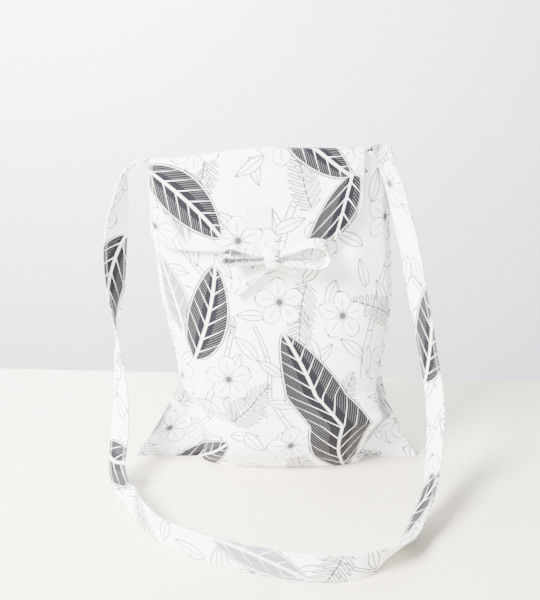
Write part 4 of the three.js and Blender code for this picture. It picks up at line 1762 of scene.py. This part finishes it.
def tie_piece(name, rows, steps, solid, gather=ungathered, body="flap", start=0.0):
    """A piece of tie that replaces its solid and rides on a body."""
    frames = ribbon_frames(rows, steps, TIE_WIDTH, TIE_THICKNESS)
    mesh, length = ribbon_mesh(
        frames, TIE_WIDTH, TIE_THICKNESS, TIE_COLUMNS, TIE_STITCH, TIE_CRUMPLE, gather, start
    )
    piece = finish_piece(name, mesh, tie_canvas, slot_name="tie_canvas")
    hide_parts(solid)
    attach(piece, body)
    print(name, "is", round(length), "mm of tie")


tie_piece("left_loop", loop_rows(-1, 37.5, 1.5, 0.25), 70, "bow_loop_left", loop_gather, start=100)
tie_piece("right_loop", loop_rows(1, 44.5, 9, 0.55), 80, "bow_loop_right", loop_gather)
tie_piece("left_tail", tail_rows(-1, 40, 0.63, 7), 30, "bow_tail_left", tail_gather(1))
tie_piece("right_tail", tail_rows(1, 19, 0.3, 7.6), 20, "bow_tail_right", tail_gather(0.7))

# %% Knot
KNOT_SIDES = 56
KNOT_RINGS = 40
# How much of the way across and up goes into the slant of the turn
KNOT_SLANT = (0.7, 0.8)
# Strength of the painted shade in the knot's pleats and round its rim
KNOT_SHADE = 1.6
KNOT_BOXINESS = 0.3
KNOT_BOX = 0.82
KNOT_ROUGHNESS = 0.03
KNOT_GRAIN = 5
# Place and width of the painted shade round the knot's rim, where it turns to the sides
KNOT_RIM = (0.15, 0.2)
KNOT_PLEAT = 0.05
# Each pleat's place across the slant, and its width
KNOT_PLEATS = [(0.75, 0.1), (-0.5, 0.12)]


def knot_mesh():
    """A lump wrapped by one slanting turn of tie, with two pleats across it."""
    mesh = bmesh.new()
    layer, seam = cloth_layers(mesh)
    made = bmesh.ops.create_uvsphere(mesh, u_segments=KNOT_SIDES, v_segments=KNOT_RINGS, radius=0.5)
    for vert in made["verts"]:
        across, forward, up = vert.co * 2
        slant = up * KNOT_SLANT[1] + KNOT_SLANT[0] * across
        pleat = sum(hill(slant - place, width) for place, width in KNOT_PLEATS)
        swell = 1 - KNOT_PLEAT * pleat + KNOT_ROUGHNESS * noise.noise(vert.co * KNOT_GRAIN)
        round_edge = max(abs(across), abs(up), abs(forward))
        boxy = mix(1, KNOT_BOX / max(0.5, round_edge), KNOT_BOXINESS)
        rim = hill(forward + KNOT_RIM[0], KNOT_RIM[1])
        # Painted shade in the pleats and round the rim
        vert[seam] = KNOT_SHADE * (pleat + rim)
        for loop in vert.link_loops:
            loop[layer].uv = (across * KNOT[0] / 2 * MM, up * KNOT[2] / 2 * MM)
        vert.co = Vector((
            knot_x + across * KNOT_LOOK[0] / 2 * swell * boxy + up * KNOT_LEAN,
            knot_y + forward * KNOT_LOOK[1] / 2 * swell * boxy,
            knot_z + up * KNOT_LOOK[2] / 2 * swell * boxy,
        )) * MM
    for face in mesh.faces:
        face.smooth = True
    return mesh


knot = finish_piece("knot", knot_mesh(), tie_canvas, slot_name="tie_canvas")
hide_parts("bow_knot")
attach(knot, "flap")
print("the knot is", KNOT_LOOK, "mm")

# %% Sewn ends of the ties
PANEL_GAP = 0.5
ROOT_STEPS = 8


def root_rows(top, low, out_at):
    """Rows of an end that lies flat on the cloth behind it, from its top down."""
    return [row(knot_x, -out_at(z) - TIE_THICKNESS / 2, z, 1, 0, 0) for z in (top, low)]


def on_flap(z):
    """How far out an end lies that is sewn on the flap."""
    return flap_out(knot_x, z) + flap_face + TIE_GAP


def on_panel(z):
    """How far out an end lies that is sewn on the front under the flap."""
    return math.hypot(section(z)[2], SEAM_RIDGE) + PANEL_GAP


flap_root = root_rows(FLAP_LOW + 12, FLAP_LOW - 1, on_flap)
panel_root = root_rows(FLAP_LOW - 0.9, FLAP_LOW - 12.9, on_panel)
tie_piece("flap_tie_end", flap_root, ROOT_STEPS, "flap_tie_root")
tie_piece("panel_tie_end", panel_root, ROOT_STEPS, "panel_tie_root", body="bag")

# %% [markdown]
# ## The label
# A small bare label of woven tape is folded under at its edges and sewn on the flap. It
# follows the flap's curve, so its points are found on the same surface, a little further out.
# %% Label
LABEL_WIDTH = 24
LABEL_HEIGHT = 19
LABEL_MIDDLE = (FLAP_SHIFT + 2, FLAP_LOW + 30)
LABEL_THICKNESS = 0.6
LABEL_GAP = 0.9
LABEL_STITCH = 1.3
# Widths of the painted shade in the stitched line and along the folded edge
LABEL_LINE = 0.5
LABEL_EDGE_LINE = 0.4
LABEL_SQUATNESS = 0.8


def label_point(u, v):
    """A point of the label's middle layer, from its lower left corner."""
    x = LABEL_MIDDLE[0] + (u - 0.5) * LABEL_WIDTH
    z = LABEL_MIDDLE[1] + (v - 0.5) * LABEL_HEIGHT
    return Vector((x, -flap_out(x, z) - flap_face - LABEL_GAP - LABEL_THICKNESS / 2, z)) * MM


def label_painted_shade(u, v):
    """Painted shade in the pressed stitched line and along the folded edge."""
    from_edge = LABEL_WIDTH * min(u, 1 - u, v * LABEL_SQUATNESS, (1 - v) * LABEL_SQUATNESS)
    return hill(from_edge - LABEL_STITCH, LABEL_LINE) + hill(from_edge, LABEL_EDGE_LINE)


label_mesh = bmesh.new()
lay_cloth(label_mesh, 2 * LABEL_WIDTH, 2 * LABEL_HEIGHT, label_point, painted_shade_at=label_painted_shade)
label = finish_piece("blank_label", label_mesh, label_tape, slot_name="label_tape")
give_wall(label, "fold", LABEL_THICKNESS * MM, 0)
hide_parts("label")
print("the label is", LABEL_WIDTH, "by", LABEL_HEIGHT, "mm")

# %% [markdown]
# ## Stitches
# Topstitching runs along the strap's edges, round the flap and round the label. Each
# stitch is one short thread, pressed into the cloth, so it is a small flattened bead.
# %% Thread
STITCH_PITCH = 3.0
STITCH_SIZE = (2.3, 0.5, 0.36)
STITCH_SIDES = 6
STITCH_RINGS = 4
STITCH_FACES = STITCH_SIDES * STITCH_RINGS
STITCH_BATCH = 40


class Seam:
    """Stitches sewn a few at a time, because an operator slows down as its mesh grows."""

    def __init__(self):
        self.whole = bmesh.new()
        self.batch = bmesh.new()
        self.count = 0

    def add_stitch(self, at, along, normal):
        """One stitch at a place in millimetres, lying along the seam."""
        made = bmesh.ops.create_uvsphere(
            self.batch, u_segments=STITCH_SIDES, v_segments=STITCH_RINGS, radius=0.5
        )
        aside = normal.cross(along).normalized()
        for vert in made["verts"]:
            x, y, z = vert.co
            place = at + along * z * STITCH_SIZE[0] + aside * x * STITCH_SIZE[1]
            vert.co = (place + normal * y * STITCH_SIZE[2]) * MM
        self.count += 1
        if self.count % STITCH_BATCH == 0:
            self.pour()

    def pour(self):
        """Moves the batch into the whole seam."""
        poured = bpy.data.meshes.new("stitches")
        self.batch.to_mesh(poured)
        self.whole.from_mesh(poured)
        bpy.data.meshes.remove(poured)
        self.batch.clear()

    def sew(self, path):
        """Stitches at an even pitch along a path of (place, normal)."""
        ahead = 0.0
        for (here, normal), (there, _) in zip(path, path[1:]):
            span = (there - here).length
            while ahead < span:
                self.add_stitch(here.lerp(there, ahead / span), (there - here) / span, normal)
                ahead += STITCH_PITCH
            ahead -= span

    def finish(self):
        """The whole seam as one mesh."""
        self.pour()
        self.batch.free()
        for face in self.whole.faces:
            face.smooth = True
        return self.whole


print("stitches are", STITCH_PITCH, "mm apart")

# %% Stitches of the strap, along both edges of both faces
STITCH_SINK = 0.72


def strap_stitches():
    """Four seams, drawn in with the strap where it is gathered."""
    seam = Seam()
    off = STRAP_THICKNESS / 2 * STITCH_SINK
    for edge in (1, -1):
        for face in (1, -1):
            side = edge * (STRAP_WIDTH / 2 - STRAP_STITCH)
            path = []
            for k, (at, way, normal) in enumerate(strap_frames):
                kept = side * strap_gather(k / STRAP_STEPS)
                path.append((at + way * kept + normal * face * off, normal * face))
            seam.sew(path)
    return seam.finish()


strap_thread = finish_piece("strap_stitches", strap_stitches(), thread_white, slot_name="strap_canvas")
print("the strap has", len(strap_thread.data.polygons) // STITCH_FACES, "stitches")

# %% Stitches of the flap and the label, laid out flat and then put on the surface
SEAM_STEPS = 200
SIDE_STEPS = 10
LEFT_SEAM_TOP = BAG_HEIGHT - 24
RIGHT_SEAM_TOP = BAG_HEIGHT - 8
SLOPE_STEP = 0.2


def outline_path(points, place):
    """Places and normals on a surface along flat points, in millimetres."""
    path = []
    for x, z in points:
        here = place(x, z)
        right = place(x + 0.5, z) - here
        above = place(x, z + 0.5) - here
        path.append((here, right.cross(above).normalized()))
    return path


def flap_surface(x, z):
    """A point of the flap's outer face, at a flat place."""
    u = 0.5 + math.asin(clamp((x - FLAP_SHIFT) / (FLAP_WIDTH / 2), -1.0)) / math.pi
    top = flap_turn(x)
    share = (z - top) / (flap_edge(x) - top)
    v = FLAP_FOLD_SHARE + max(0.0, share) * (1 - FLAP_FOLD_SHARE)
    return flap_point(u, v, FLAP_THICKNESS / 2 + 0.02) / MM


def label_surface(x, z):
    """A point of the label's outer face, at a flat place."""
    u = (x - LABEL_MIDDLE[0]) / LABEL_WIDTH + 0.5
    v = (z - LABEL_MIDDLE[1]) / LABEL_HEIGHT + 0.5
    return label_point(u, v) / MM - Vector((0, LABEL_THICKNESS / 2, 0))


def sewn(points, surface):
    """A seam along flat points on a surface."""
    seam = Seam()
    seam.sew(outline_path(points, surface))
    return seam.finish()


def flap_stitches():
    """A seam inside the free edge: down the left side, along, and up the right."""
    flat = []
    for k in range(SEAM_STEPS + 1):
        x = flap_x(k / SEAM_STEPS)
        before, after = max(x - SLOPE_STEP, flap_left), min(x + SLOPE_STEP, flap_right)
        slope = (flap_edge(after) - flap_edge(before)) / (2 * SLOPE_STEP)
        away = STITCH_INSET / math.hypot(1, slope)
        flat.append((x - slope * away, flap_edge(x) + away))
    left, right = flap_left + STITCH_INSET, flap_right - STITCH_INSET
    inner = [point for point in flat if left < point[0] < right]
    down = [(left, z) for z in range(LEFT_SEAM_TOP, int(inner[0][1]) + 2, -2)]
    up = [(right, z) for z in range(int(inner[-1][1]) + 2, RIGHT_SEAM_TOP, 2)]
    return sewn(down + inner + up, flap_surface)


def label_stitches():
    """A seam inside the four edges, back to where it starts."""
    half_width, half_height = LABEL_WIDTH / 2 - LABEL_STITCH, LABEL_HEIGHT / 2 - LABEL_STITCH
    corners = [(-1, -1), (1, -1), (1, 1), (-1, 1), (-1, -1)]
    flat = []
    for (ax, az), (bx, bz) in zip(corners, corners[1:]):
        for k in range(SIDE_STEPS):
            x = LABEL_MIDDLE[0] + half_width * mix(ax, bx, k / SIDE_STEPS)
            z = LABEL_MIDDLE[1] + half_height * mix(az, bz, k / SIDE_STEPS)
            flat.append((x, z))
    return sewn(flat + flat[:1], label_surface)


flap_thread = finish_piece("flap_stitches", flap_stitches(), thread_white, slot_name="printed_canvas")
label_thread = finish_piece("label_stitches", label_stitches(), thread_white, slot_name="label_tape")
print("the flap has", len(flap_thread.data.polygons) // STITCH_FACES, "stitches")

# %% [markdown]
# ## How the cloth moves
# The flap's sewn edge stays on the bag while the rest turns, so the cloth bends between
# the two, over the back half of the mouth. The strap's ends do the same at its two hinges.
# %% Joints in the cloth
FLAP_BEND = 24
STRAP_BEND = 30
STRAP_FORWARD = 0.7
hinge_y = MOUTH_DEPTH / 2
for piece in (flap, flap_thread):
    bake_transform(piece, "bag", "flap", start=(0, hinge_y * MM, BAG_HEIGHT * MM),
             end=(0, (hinge_y - FLAP_BEND) * MM, BAG_HEIGHT * MM))
for piece in (label, label_thread):
    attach(piece, "flap")
# The strap leaves its two ends downwards and a little forward, square to the line through them.
forward = Vector((0, -1, 0))
away = (forward * STRAP_FORWARD + swing.cross(forward)).normalized()
for piece in (strap, strap_thread):
    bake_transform(piece, "bag", "strap", start=left_hinge * MM, end=(left_hinge + away * STRAP_BEND) * MM)
print("the flap bends over its first", FLAP_BEND, "mm")

# %% [markdown]
# ## Sizes of the dressed bag
# The dressed bag is meant to stay the size of the imported model, so its size is printed, as the imported
# model's was at the start.
# %% Sizes
dressed_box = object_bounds()
({name: [list(corner) for corner in box]
           for name, box in (("cad", cad_box), ("visual", dressed_box))})
print("the dressed bag is", [round(side / MM) for side in dressed_box[1] - dressed_box[0]], "mm")
